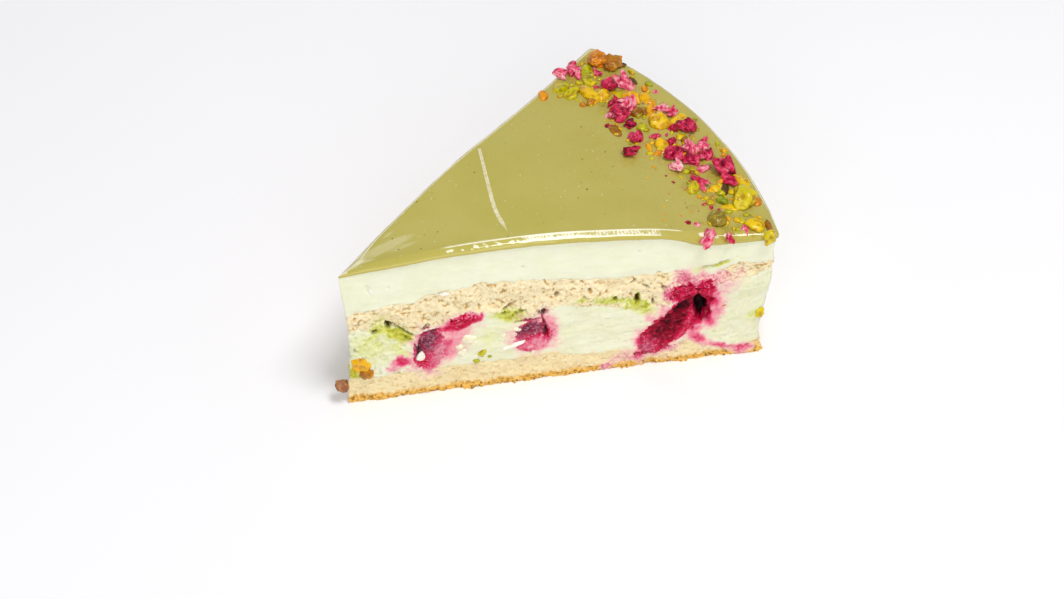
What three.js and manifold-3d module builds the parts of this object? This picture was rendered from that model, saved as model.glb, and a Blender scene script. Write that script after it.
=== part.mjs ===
import * as THREE from 'three';
import { mergeVertices } from 'three/addons/utils/BufferGeometryUtils.js';
import { ImprovedNoise } from 'three/addons/math/ImprovedNoise.js';
import Module from 'manifold-3d';

// One slice of a layered mousse cake, in millimetres.
// While it is shaped, the tip of the slice stands over (0, 0), the front cut face lies in the plane y = 0
// and the back cut face is turned from it by the slice angle. The group then moves it to its centre.
const CAKE_RADIUS = 120;
const SLICE_ANGLE = THREE.MathUtils.degToRad(45.3);
const SLICE_CENTRE = new THREE.Vector3(60.2, 41.9, 0);

// Gap between neighbouring pieces
const SEAM = 0.3;

// Steps along each side of the wedge outline
const FRONT_STEPS = 24;
const RIM_STEPS = 16;
const BACK_STEPS = 20;
const TIP_STEPS = 2;
const OUTLINE_STEPS = FRONT_STEPS + RIM_STEPS + BACK_STEPS + TIP_STEPS;

// Where the rings of a layer's top and underside shrink to, and their shares of the full outline
const MIDDLE_RADIUS = 76;
const MIDDLE_HEIGHT = 25;
const ORIGIN = new THREE.Vector2();
const MIDDLE = new THREE.Vector2(MIDDLE_RADIUS, 0).rotateAround(ORIGIN, SLICE_ANGLE / 2);
const RING_SHARES = [0.45, 0.86];

// Set-back of the crumbled tip, bulge of the rim and depth of the wall's crags, as [height, distance]
const TIP_SETBACK = [[0, 0.6], [8, 0.9], [11, 2.2], [20, 2.7], [28, 2.3], [36, 1.6], [46, 0.7], [53, 0.5]];
const RIM_BULGE = [[0, -1.2], [3, -1.7], [9, -2.1], [18, -1.3], [26, -0.2], [33, 0.1], [35.5, 0.8], [39, 0]];
const WALL_RELIEF = [[0, 0.8], [3, 0.6], [9, 0.4], [14, 0.3], [24, 0.5], [30, 1.1], [36, 1.1], [41, 0.25]];
const WALL_GRAIN = 5.5;

// Layer boundaries as [distance from the tip, height]: on the front cut face, and inside the slice.
// The cut profile fades into the inside one over the cut depth, and the back cut face shows a weaker
// copy of it, turned end for end about a middle distance.
const BASE_TOP = {
  cut: [[0, 10.4], [12, 9.6], [58, 9.6], [78, 7], [90, 6.3], [98, 8.4], [104, 5], [111, 3.4], [120, 4.8]],
  inside: [[0, 9.6], [70, 9], [100, 7.2], [120, 5.6]],
};
const SPONGE_BOTTOM = {
  cut: [[0, 28.6], [12, 29.2], [20, 25.4], [28, 25.8], [41, 29.4], [49, 24.7], [62, 28.8], [86, 22.8],
    [102, 28.7], [120, 33.4]],
  inside: [[0, 28.4], [90, 27], [108, 29.4], [120, 31.8]],
};
const SPONGE_TOP = {
  cut: [[0, 35.2], [15, 37], [28, 39.6], [41, 41.2], [61, 39.6], [77, 37], [91, 37], [101, 33.6],
    [110, 37.4], [120, 36]],
  inside: [[0, 35.6], [40, 40], [80, 38.4], [120, 36.6]],
};
const CUT_DEPTH = 16;
const BACK_MIRROR = 98;
const BACK_STRENGTH = 0.6;

// Glaze: its lower edge on the front cut face, and its top over the front and the back cut face
const GLAZE_EDGE = [[0, 49.6], [12, 51.4], [30, 53.3], [52, 53.8], [70, 52.7], [86, 50.8], [92, 49.4],
  [98, 46.4], [106, 45.6], [120, 45.3]];
const GLAZE_TOP_FRONT = [[0, 51.6], [10, 53.4], [22, 54.8], [40, 56], [58, 56], [72, 54.7], [86, 52.8],
  [98, 49.8], [108, 48.2], [120, 47.2]];
const GLAZE_TOP_BACK = [[0, 50.8], [15, 51.7], [45, 52.4], [60, 51.5], [75, 49.8], [90, 48.2],
  [105, 47.3], [120, 46.9]];
const GLAZE_THICKNESS = 2.4;
const GLAZE_OVERHANG = 0.8;
const GLAZE_SHOULDER = 1.5;
const GLAZE_EDGE_DEPTH = 8;

// Raspberries opened by the two cuts: middle along the cut face and above the floor, size and lean
const RASPBERRIES = [
  { name: 'raspberry_left', face: 'front', along: 23.8, height: 17.4, length: 14.6, width: 7.8, lean: 80 },
  { name: 'raspberry_middle', face: 'front', along: 52.6, height: 18, length: 11.4, width: 9.6, lean: 70 },
  { name: 'raspberry_right', face: 'front', along: 92.4, height: 15.4, length: 27, width: 10.4, lean: 48 },
  { name: 'raspberry_back_inner', face: 'back', along: 36, height: 18.4, length: 14, width: 10, lean: 62 },
  { name: 'raspberry_back_middle', face: 'back', along: 68, height: 17.6, length: 15, width: 10, lean: 118 },
  { name: 'raspberry_back_outer', face: 'back', along: 98, height: 17, length: 17, width: 10, lean: 70 },
];
const RASPBERRY_DEPTH = 7.5;
const RASPBERRY_RECESS = 0.5;
const DRUPELET_RELIEF = 0.07;

// The dark hollow in the cut of the right raspberry
const BERRY_HOLLOW = { along: 99.6, height: 20.8, length: 7.6, width: 2.6, depth: 3.2, lean: 100 };

// Candied pistachio pressed into the tip of the lower mousse
const TIP_PISTACHIO = { x: 4.8, y: 1.4, z: 14.8, length: 7.2, width: 4.4, height: 4.6, lean: 70 };

// Toppings on the glaze, as [x, y, length, width, turn in degrees]
const BERRY_PIECES = [
  [77.5, 74, 6.6, 4, 70], [73, 73, 4.8, 3.6, 125], [84, 72.4, 4, 2.6, 80], [86, 65, 4.6, 4.2, 60],
  [90.5, 66.4, 7, 4.4, 110], [86, 58.4, 5, 3, 72], [90, 57, 6.6, 4.2, 45], [87, 52.4, 6.2, 5.6, 30],
  [99, 54, 5, 2.6, 40], [101.6, 52, 6, 2.4, 28], [88.5, 48, 4.6, 2.6, 42], [104, 44.4, 5.2, 4.8, 80],
  [89.2, 41.4, 5, 3.2, 95], [87, 36.6, 5.4, 4.8, 140], [94.6, 42, 3.6, 2.2, 50], [98.7, 39.2, 3.2, 2.8, 90],
  [98, 33.2, 5.2, 4.6, 60], [98, 28.2, 5.4, 3.8, 130], [103.4, 35.4, 7, 3.6, 96], [102.4, 30.6, 5, 4, 50],
  [107.2, 36.6, 7, 2.6, 62], [107.2, 32.2, 4.8, 3.2, 95], [105.4, 27, 3.8, 2.6, 160],
  [111, 26.4, 7, 6, 100], [111.4, 21.4, 6, 3.6, 82], [103.2, 21, 6.6, 3, 104], [111.4, 2.4, 4, 1.8, 60],
];
const PISTACHIO_PIECES = [
  [84.5, 77.6, 5.6, 5, 80], [88.2, 75.4, 6, 4.8, 20], [91, 77.6, 4.6, 2.6, 62], [81, 73, 5.6, 3.2, 84],
  [72.4, 67, 3.8, 3.6, 20], [66.4, 64.4, 3.6, 2.6, 90], [75, 64.2, 4.8, 3.4, 48], [80, 63, 7, 3.4, 118],
  [83.6, 62, 3.8, 3.4, 60], [88, 69, 4, 2.6, 155], [91.8, 59.6, 5, 4, 150], [95.6, 59.4, 4, 2.6, 100],
  [91.6, 53.4, 3.4, 3, 50], [96, 54.8, 6.6, 2.2, 72], [97.6, 48.4, 5.4, 5, 30], [102.8, 48, 5, 3.8, 48],
  [84, 46, 5, 2.4, 104], [91.8, 46.8, 3.2, 2.6, 60], [95.8, 38.6, 4.8, 3.2, 100], [96, 36.2, 3.8, 2.6, 20],
  [100.4, 19.4, 4.6, 3.2, 60], [106.8, 18.4, 3.2, 2.6, 40], [107.6, 13.6, 3.2, 2.8, 90],
  [115, 21, 5.4, 3, 104], [113.4, 13.4, 6.8, 6.2, 55], [109.6, 11, 4.6, 2.2, 170], [104.6, 6, 5, 4.8, 100],
  [114.4, 3, 4.6, 3.8, 150],
];
const BERRY_PIECE_RISE = 0.8;
const PISTACHIO_PIECE_RISE = 0.62;
const LEAST_RISE = 1.4;
const PIECE_SINK = 0.7;
const FINE_PIECE_LENGTH = 6;
const PIECE_ROUGHNESS = 0.36;

// Pieces that hang over the front edge of the glaze
const EDGE_PIECES = [
  { x: 101, y: -0.6, z: 49.2, length: 6, width: 3.6, height: 3.4, lean: 40 },
  { x: 107, y: -1.1, z: 47.9, length: 3.4, width: 2, height: 2.2, lean: 110 },
  { x: 117.6, y: -1.4, z: 46.9, length: 4.6, width: 2.5, height: 3, lean: 60 },
];

// Smaller chopped bits between them, in the crescent along the rim
const BIT_COUNT = 22;
const BIT_SIZES = [1.8, 2.6];
const BIT_WIDTH_SHARE = 0.8;
const BIT_CLEARANCE = 0.2;
const CRESCENT_RADII = [99, 116];
const CRESCENT_TURNS = [0.04, 0.96];

// First seeds of each kind of uneven lump
const SEEDS = { places: 7, berry: 0, nut: 3000, bit: 6000, edge: 8000, fruit: 9000, hollow: 700, tip: 900 };
const SEED_STEP = 40;

const FINISHES = {
  sponge: { color: 0xead19b, roughness: 0.95, metalness: 0 },
  mousse: { color: 0xe9e8bd, roughness: 0.7, metalness: 0 },
  cream: { color: 0xf1eecf, roughness: 0.6, metalness: 0 },
  glaze: { color: 0xb9ad5e, roughness: 0.12, metalness: 0 },
  raspberry: { color: 0x8c1238, roughness: 0.45, metalness: 0 },
};

const { lerp, clamp, smoothstep, degToRad } = THREE.MathUtils;
const wasm = await Module();
wasm.setup();
const noise = new ImprovedNoise();

// A repeatable number from 0 to 1 for a seed
function chance(seed) {
  const wave = Math.sin(seed * 12.9898) * 43758.5453;
  return wave - Math.floor(wave);
}

// Smooth curve through [place, value] pairs
function follow(points, place) {
  const last = points.length - 1;
  const within = clamp(place, points[0][0], points[last][0]);
  const beyond = points.findIndex((point) => point[0] > within);
  const next = beyond < 0 ? last : beyond;
  const [x1, y1] = points[next - 1];
  const [x2, y2] = points[next];
  const slope = (a, b) => (points[b][1] - points[a][1]) / (points[b][0] - points[a][0]);
  const startSlope = slope(Math.max(next - 2, 0), next);
  const endSlope = slope(next - 1, Math.min(next + 1, last));
  const width = x2 - x1;
  const t = (within - x1) / width;
  const rise = t * t * (3 - 2 * t);
  return lerp(y1, y2, rise) + width * t * (1 - t) * ((1 - t) * startSlope - t * endSlope);
}

// Distance of a point from the back cut face, into the slice
function depthFromBack(x, y) {
  return x * Math.sin(SLICE_ANGLE) - y * Math.cos(SLICE_ANGLE);
}

// Height of a layer boundary: the cut profile near both cut faces, the even layer between them
function boundaryHeight(boundary, x, y) {
  const radius = Math.hypot(x, y);
  const mirrored = clamp(BACK_MIRROR - radius, 0, CAKE_RADIUS);
  const rise = (distance) => follow(boundary.cut, distance) - follow(boundary.inside, distance);
  const frontShare = Math.exp(-((y / CUT_DEPTH) ** 2));
  const backShare = Math.exp(-((depthFromBack(x, y) / CUT_DEPTH) ** 2));
  const frontRise = rise(radius) * frontShare * (1 - backShare / 2);
  const backRise = BACK_STRENGTH * rise(mirrored) * backShare * (1 - frontShare / 2);
  return follow(boundary.inside, radius) + frontRise + backRise;
}

function glazeTopHeight(x, y) {
  const radius = Math.hypot(x, y);
  const turn = clamp(Math.atan2(y, x) / SLICE_ANGLE, 0, 1);
  return lerp(follow(GLAZE_TOP_FRONT, radius), follow(GLAZE_TOP_BACK, radius), turn);
}

function glazeUndersideHeight(x, y) {
  const even = glazeTopHeight(x, y) - GLAZE_THICKNESS;
  return lerp(follow(GLAZE_EDGE, Math.hypot(x, y)), even, smoothstep(y, 0, GLAZE_EDGE_DEPTH));
}

// A point of the wedge outline at a height, with the direction that leads out of the slice
function outlinePoint(step, height) {
  const setback = follow(TIP_SETBACK, height);
  const rim = CAKE_RADIUS + follow(RIM_BULGE, height);
  const pointAt = (distance, angle) => new THREE.Vector2(distance, 0).rotateAround(ORIGIN, angle);
  if (step < FRONT_STEPS) {
    const distance = lerp(setback, rim, step / FRONT_STEPS);
    return { place: pointAt(distance, 0), out: new THREE.Vector2(0, -1) };
  }
  if (step < FRONT_STEPS + RIM_STEPS) {
    const angle = (SLICE_ANGLE * (step - FRONT_STEPS)) / RIM_STEPS;
    return { place: pointAt(rim, angle), out: pointAt(1, angle) };
  }
  if (step < FRONT_STEPS + RIM_STEPS + BACK_STEPS) {
    const distance = lerp(rim, setback, (step - FRONT_STEPS - RIM_STEPS) / BACK_STEPS);
    return { place: pointAt(distance, SLICE_ANGLE), out: pointAt(1, SLICE_ANGLE + Math.PI / 2) };
  }
  const share = (OUTLINE_STEPS - step) / TIP_STEPS;
  const blunt = 1 - 0.3 * Math.sin(Math.PI * share);
  return { place: pointAt(setback * blunt, SLICE_ANGLE * share), out: pointAt(-1, SLICE_ANGLE / 2) };
}

// Crags of the outer walls
function wallRelief({ x, y }, height) {
  return follow(WALL_RELIEF, height) * noise.noise(x / WALL_GRAIN, y / WALL_GRAIN, height / WALL_GRAIN);
}

// A point of a layer: share runs from its middle to its outline, level from its underside to its top
function layerPoint({ bottom, top, overhang, shoulder }, step, share, level) {
  const near = outlinePoint(step, MIDDLE_HEIGHT).place;
  const height = lerp(bottom(near.x, near.y), top(near.x, near.y), level);
  const { place, out } = outlinePoint(step, height);
  const rounding = shoulder * Math.max(0, 2 * level - 1);
  place.addScaledVector(out, overhang - rounding + wallRelief(place, height));
  place.sub(MIDDLE).multiplyScalar(share).add(MIDDLE);
  return new THREE.Vector3(place.x, place.y, lerp(bottom(place.x, place.y), top(place.x, place.y), level));
}

// Triangles of a lathe grid. Those of the top fold along the same diagonals as those of the underside,
// so that the faces of two layers that meet stay parallel.
function gridTriangles(ranks) {
  const triangles = [];
  for (let turn = 0; turn < OUTLINE_STEPS; turn += 1) {
    for (let rank = 0; rank < ranks - 1; rank += 1) {
      const here = turn * ranks + rank;
      const [a, b, c, d] = [here, here + ranks, here + ranks + 1, here + 1];
      const isTop = rank >= ranks / 2;
      triangles.push(...(isTop ? [a, b, c, c, d, a] : [a, b, d, c, d, b]));
    }
  }
  return triangles;
}

// A closed layer of the slice between two height functions. A lathe turned once gives its vertex grid:
// from the axis along the underside, up the wall, and along the top back to the axis.
function wedgeLayer({ bottom, top, wallLevels, overhang = 0, shoulder = 0 }) {
  const profile = [
    new THREE.Vector2(0, 0),
    ...RING_SHARES.map((share) => new THREE.Vector2(share, 0)),
    ...wallLevels.map((level) => new THREE.Vector2(1, level)),
    ...RING_SHARES.toReversed().map((share) => new THREE.Vector2(share, 1)),
    new THREE.Vector2(0, 1),
  ];
  const geometry = new THREE.LatheGeometry(profile, OUTLINE_STEPS);
  for (let turn = 0; turn <= OUTLINE_STEPS; turn += 1) {
    profile.forEach(({ x: share, y: level }, rank) => {
      const point = layerPoint({ bottom, top, overhang, shoulder }, turn % OUTLINE_STEPS, share, level);
      geometry.attributes.position.setXYZ(turn * profile.length + rank, point.x, point.y, point.z);
    });
  }
  geometry.setIndex(gridTriangles(profile.length));
  return toSolid(geometry);
}

// A geometry with position only, and each shared vertex once
function joined(geometry) {
  const bare = geometry.clone();
  bare.deleteAttribute('normal');
  bare.deleteAttribute('uv');
  return mergeVertices(bare);
}

function toSolid(geometry) {
  const closed = joined(geometry);
  const corners = Array.from(closed.index.array);
  const triangles = [];
  for (let i = 0; i < corners.length; i += 3) {
    const triangle = corners.slice(i, i + 3);
    if (new Set(triangle).size === 3) {
      triangles.push(...triangle);
    }
  }
  return new wasm.Manifold(new wasm.Mesh({
    numProp: 3,
    vertProperties: closed.attributes.position.array,
    triVerts: Uint32Array.from(triangles),
  }));
}

function toMesh(name, solid, finish) {
  const { vertProperties, triVerts } = solid.getMesh();
  const geometry = new THREE.BufferGeometry();
  geometry.setAttribute('position', new THREE.BufferAttribute(vertProperties, 3));
  geometry.setIndex(new THREE.BufferAttribute(triVerts, 1));
  geometry.computeVertexNormals();
  const mesh = new THREE.Mesh(geometry, new THREE.MeshStandardMaterial(finish));
  mesh.name = name;
  return mesh;
}

// An uneven lump that fills a length, width and height
function lump({ length, width, height, detail, seed, roughness }) {
  const geometry = joined(new THREE.IcosahedronGeometry(0.5, detail));
  const positions = geometry.attributes.position;
  const point = new THREE.Vector3();
  for (let i = 0; i < positions.count; i += 1) {
    point.fromBufferAttribute(positions, i).multiplyScalar(1 + roughness * (chance(seed + i) - 0.5));
    positions.setXYZ(i, point.x, point.y, point.z);
  }
  return geometry.scale(length, width, height);
}

// A lump leaning in the plane of the front cut face
function leaningLump({ x, y, z, length, width, height, lean }, detail, seed, roughness) {
  const geometry = lump({ length, width, height, detail, seed, roughness });
  return geometry.rotateY(-degToRad(lean)).translate(x, y, z);
}

// A raspberry lying across a cut face, swollen on all sides by a margin
function raspberrySolid({ face, along, height, length, width, lean }, seed, margin) {
  const grown = (size) => size + 2 * margin;
  const size = { length: grown(length), width: grown(2 * RASPBERRY_DEPTH), height: grown(width) };
  const geometry = leaningLump({ x: along, y: 0, z: height, ...size, lean }, 2, seed, DRUPELET_RELIEF);
  return toSolid(face === 'back' ? geometry.rotateZ(SLICE_ANGLE) : geometry);
}

// Everything behind both cut faces by a distance
function behindCuts(distance) {
  const reach = Math.asin(distance / CAKE_RADIUS);
  const shape = new THREE.Shape();
  shape.absarc(0, 0, CAKE_RADIUS, reach, SLICE_ANGLE - reach, false);
  shape.lineTo(distance / Math.tan(SLICE_ANGLE / 2), distance);
  shape.closePath();
  return toSolid(new THREE.ExtrudeGeometry(shape, { depth: CAKE_RADIUS / 2, bevelEnabled: false }));
}

function berryHollow() {
  const { along, height, length, width, depth, lean } = BERRY_HOLLOW;
  const size = { length, width: 2 * depth, height: width };
  const place = { x: along, y: RASPBERRY_RECESS, z: height };
  return toSolid(leaningLump({ ...place, ...size, lean }, 1, SEEDS.hollow, PIECE_ROUGHNESS / 2));
}

// A topping lying on the glaze, sunk in a little
function topping([x, y, length, width, turn], rise, seed) {
  const height = Math.max(LEAST_RISE, rise * width);
  const detail = length >= FINE_PIECE_LENGTH ? 1 : 0;
  const geometry = lump({ length, width, height, detail, seed, roughness: PIECE_ROUGHNESS });
  geometry.rotateZ(degToRad(turn));
  geometry.translate(x, y, glazeTopHeight(x, y) + height / 2 - PIECE_SINK);
  return toSolid(geometry);
}

// The chopped bits lie in the crescent where no larger topping does
function smallBits() {
  const bits = [];
  for (let seed = SEEDS.places; bits.length < BIT_COUNT; seed += 3) {
    const turn = SLICE_ANGLE * lerp(...CRESCENT_TURNS, chance(seed));
    const radius = lerp(...CRESCENT_RADII, chance(seed + 1));
    const size = lerp(...BIT_SIZES, chance(seed + 2));
    const [x, y] = [radius * Math.cos(turn), radius * Math.sin(turn)];
    const isFree = [...BERRY_PIECES, ...PISTACHIO_PIECES, ...bits].every(
      ([otherX, otherY, length]) => Math.hypot(otherX - x, otherY - y) > (length + size) / 2 + BIT_CLEARANCE,
    );
    if (isFree) {
      bits.push([x, y, size, size * BIT_WIDTH_SHARE, 90 * chance(seed)]);
    }
  }
  return bits;
}

function glazeWithToppings() {
  const lying = (pieces, rise, seed) => pieces.map((piece, i) => topping(piece, rise, seed + SEED_STEP * i));
  const hanging = (piece, i) => toSolid(leaningLump(piece, 1, SEEDS.edge + SEED_STEP * i, PIECE_ROUGHNESS));
  const skin = wedgeLayer({
    bottom: (x, y) => glazeUndersideHeight(x, y) + SEAM / 2,
    top: glazeTopHeight,
    wallLevels: [0, 0.5, 0.85, 1],
    overhang: GLAZE_OVERHANG,
    shoulder: GLAZE_SHOULDER,
  });
  const pieces = [
    ...lying(BERRY_PIECES, BERRY_PIECE_RISE, SEEDS.berry),
    ...lying(PISTACHIO_PIECES, PISTACHIO_PIECE_RISE, SEEDS.nut),
    ...lying(smallBits(), PISTACHIO_PIECE_RISE, SEEDS.bit),
    ...EDGE_PIECES.map(hanging),
  ];
  return pieces.reduce((glaze, piece) => glaze.add(piece), skin);
}

function between(lower, upper, wallLevels) {
  return wedgeLayer({
    bottom: (x, y) => lower(x, y) + SEAM / 2,
    top: (x, y) => upper(x, y) - SEAM / 2,
    wallLevels,
  });
}

const floor = () => -SEAM / 2;
const baseTop = (x, y) => boundaryHeight(BASE_TOP, x, y);
const spongeBottom = (x, y) => boundaryHeight(SPONGE_BOTTOM, x, y);
const spongeTop = (x, y) => boundaryHeight(SPONGE_TOP, x, y);

// Layers from the floor up; the three lower ones have a pocket for each raspberry
const layers = {
  base_sponge: between(floor, baseTop, [0, 0.25, 0.6, 1]),
  lower_mousse: between(baseTop, spongeBottom, [0, 0.3, 0.6, 1]),
  upper_sponge: between(spongeBottom, spongeTop, [0, 0.3, 0.7, 1]),
};
const fruit = {};
const opened = behindCuts(RASPBERRY_RECESS);
RASPBERRIES.forEach((berry, i) => {
  const seed = SEEDS.fruit + SEED_STEP * i;
  const pocket = raspberrySolid(berry, seed, SEAM);
  for (const name of Object.keys(layers)) {
    layers[name] = layers[name].subtract(pocket);
  }
  fruit[berry.name] = raspberrySolid(berry, seed, 0).intersect(opened);
});
fruit.raspberry_right = fruit.raspberry_right.subtract(berryHollow());
const tipPistachio = toSolid(leaningLump(TIP_PISTACHIO, 1, SEEDS.tip, PIECE_ROUGHNESS));
layers.lower_mousse = layers.lower_mousse.add(tipPistachio);

const cake = new THREE.Group();
cake.add(toMesh('base_sponge', layers.base_sponge, FINISHES.sponge));
cake.add(toMesh('lower_mousse', layers.lower_mousse, FINISHES.mousse));
cake.add(...Object.entries(fruit).map(([name, solid]) => toMesh(name, solid, FINISHES.raspberry)));
cake.add(toMesh('upper_sponge', layers.upper_sponge, FINISHES.sponge));
cake.add(toMesh('upper_mousse', between(spongeTop, glazeUndersideHeight, [0, 0.4, 0.75, 1]), FINISHES.cream));
cake.add(toMesh('glaze', glazeWithToppings(), FINISHES.glaze));
cake.position.copy(SLICE_CENTRE).negate();

export default cake;
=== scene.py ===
"""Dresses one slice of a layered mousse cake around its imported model.

Sizes are millimetres in the slice's drawing frame: the tip stands over (0, 0), the front cut face lies in
the plane y = 0, the back cut face is turned from it by the slice angle, and the floor is at z = 0.
Meshes are put in place in metres, in the row frame.
"""

import logging
import math
from collections.abc import Callable, Sequence
from dataclasses import dataclass, field, replace
from enum import Enum
from functools import cache, cached_property, partial

import bmesh
import bpy
import numpy as np
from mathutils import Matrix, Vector, noise


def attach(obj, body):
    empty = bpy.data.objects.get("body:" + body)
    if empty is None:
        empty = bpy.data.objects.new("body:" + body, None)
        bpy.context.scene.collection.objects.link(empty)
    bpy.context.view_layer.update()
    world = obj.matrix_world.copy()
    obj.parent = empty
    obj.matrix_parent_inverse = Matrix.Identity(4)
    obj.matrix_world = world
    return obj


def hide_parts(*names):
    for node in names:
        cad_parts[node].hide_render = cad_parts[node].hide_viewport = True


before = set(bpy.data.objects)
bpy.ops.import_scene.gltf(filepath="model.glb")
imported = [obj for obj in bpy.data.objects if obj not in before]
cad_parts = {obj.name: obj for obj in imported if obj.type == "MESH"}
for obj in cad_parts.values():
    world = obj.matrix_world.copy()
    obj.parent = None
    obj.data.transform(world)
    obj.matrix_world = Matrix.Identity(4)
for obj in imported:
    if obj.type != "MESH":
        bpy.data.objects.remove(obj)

MILLIMETRE = 0.001
FULL_TURN = 2 * math.pi
LOG = logging.getLogger("cake")

Points = Values = np.ndarray
Field = Callable[[Points], Values]
Triple = tuple[float, float, float]

FLAT = np.array([1.0, 1.0, 0.0])
DRAWN_UP = np.array([1.0, 1.0, 0.4])
LID_RINGS = (0.99, 0.95, 0.85, 0.6, 0.3)


# Small maths


def chance(seed: float | Values) -> Values:
    """Gives a repeatable number from 0 to 1 for each seed."""
    wave = np.sin(np.asarray(seed, float) * 12.9898) * 43758.5453
    return wave - np.floor(wave)


def mix(start: float | Values, end: float | Values, share: float | Values) -> Values:
    """Goes from start to end by a share."""
    return start + (end - start) * share


def rise(value: Values, low: float, high: float) -> Values:
    """Rises smoothly from 0 at low to 1 at high, or falls if low is above high."""
    share = np.clip((value - low) / (high - low), 0, 1)
    return share * share * (3 - 2 * share)


def peak(value: Values, middle: float, width: float) -> Values:
    """Rises to 1 at the middle and fades away on both sides over about a width."""
    return np.exp(-(((value - middle) / width) ** 2))


def from_axis(points: Points) -> Values:
    """Measures how far points lie from the round cake's axis."""
    return np.hypot(points[..., 0], points[..., 1])


def bearing(angle: float | Values) -> Points:
    """Gives the x and y of a direction."""
    return np.stack([np.cos(angle), np.sin(angle)], axis=-1)


def turned(points: Points, degrees: float, first: int, second: int) -> Points:
    """Turns points in the plane of two of their axes.

    Args:
        points: Rows of coordinates.
        degrees: Turn from the first axis towards the second.
        first: Number of the first axis.
        second: Number of the second axis.

    Returns:
        The turned points.
    """
    made, angle = points.copy(), math.radians(degrees)
    made[..., first] = points[..., first] * math.cos(angle) - points[..., second] * math.sin(angle)
    made[..., second] = points[..., first] * math.sin(angle) + points[..., second] * math.cos(angle)
    return made


def bumps(points: Points, size: float, octaves: int = 1, seed: int = 0) -> Values:
    """Gives fractal noise from about -1 to 1, with its coarsest bumps about a size apart."""
    places = points / size + 17.3 * seed
    return np.array([noise.fractal(place, 1.0, 2.0, octaves) for place in places.tolist()])


def grains(points: Points, size: float, seed: int = 0) -> tuple[Values, Values]:
    """Fills space with rounded grains.

    Args:
        points: Rows of three coordinates.
        size: Distance between the grains.
        seed: Moves the pattern.

    Returns:
        For each point the height of its grain, 1 in its middle and about 0 in the creases, and a
        repeatable number from 0 to 1 that is the grain's own.
    """
    places = points / size + 31.7 * seed
    heights, owners = [], []
    for place in places.tolist():
        distances, middles = noise.voronoi(place)
        heights.append(1 - 2 * distances[0])
        owners.append(middles[0].dot(Vector((12.7, 78.3, 37.9))))
    return np.array(heights), chance(np.array(owners))


@dataclass(frozen=True)
class Oval:
    """A soft oval: its middle, length, width, lean in degrees and strength."""

    x: float
    y: float
    length: float
    width: float
    lean: float = 0.0
    strength: float = 1.0

    def out(self, x: Values, y: Values) -> Values:
        """Says how far out places are, 1 on the oval's edge.

        Args:
            x: Their first coordinates.
            y: Their second coordinates.

        Returns:
            Their distances from the middle, as shares of the oval's size.
        """
        turn, aside, up = math.radians(self.lean), x - self.x, y - self.y
        lengthways = (aside * math.cos(turn) + up * math.sin(turn)) / (self.length / 2)
        across = (up * math.cos(turn) - aside * math.sin(turn)) / (self.width / 2)
        return np.hypot(lengthways, across)


@dataclass(frozen=True)
class Profile:
    """Smooth curve through places and their values."""

    points: tuple[tuple[float, float], ...]

    def at(self, places: Values) -> Values:
        """Reads the curve.

        Args:
            places: Where to read it. Beyond its ends it stays level.

        Returns:
            The values there.
        """
        xs, ys = np.array(self.points, float).T
        slopes = np.diff(ys) / np.diff(xs)
        within = np.clip(places, xs[0], xs[-1])
        after = np.clip(np.searchsorted(xs, within, side="right"), 1, len(xs) - 1)
        before = after - 1
        earlier = np.maximum(after - 2, 0)
        later = np.minimum(after + 1, len(xs) - 1)
        start_slope = (ys[after] - ys[earlier]) / (xs[after] - xs[earlier])
        end_slope = (ys[later] - ys[before]) / (xs[later] - xs[before])
        width = xs[after] - xs[before]
        share = (within - xs[before]) / width
        lift = share * share * (3 - 2 * share)
        bow = width * share * (1 - share) * ((1 - share) * start_slope - share * end_slope)
        return ys[before] + slopes[before] * width * lift + bow


# The form of the slice


class Side(Enum):
    """Sides of the wedge, in the order in which its outline runs."""

    FRONT = 0
    RIM = 1
    BACK = 2
    TIP = 3


@dataclass(frozen=True)
class Boundary:
    """Height of a surface between two layers: on the front cut face, inside, and how unevenly it is torn."""

    cut: Profile
    inside: Profile
    torn: float = 0.0


@dataclass(frozen=True)
class Columns:
    """Upright lines round the wedge, each on a side at a share of its length."""

    sides: Values
    shares: Values

    @classmethod
    def spaced(cls, *counts: int) -> "Columns":
        """Spreads a number of columns evenly over each side, in the order of the sides."""
        sides = np.concatenate([np.full(count, side.value) for side, count in zip(Side, counts)])
        return cls(sides, np.concatenate([np.arange(count) / count for count in counts]))

    def on(self, side: Side) -> Values:
        """Says which columns are on a side."""
        return self.sides == side.value

    def pick(self, *values: object) -> Values:
        """Takes for each column the value of its side, or its x and y, given in the order of the sides."""
        shape = (-1, 1) if np.ndim(values[0]) > 1 else -1
        return np.select([self.on(side).reshape(shape) for side in Side], values)


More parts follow.
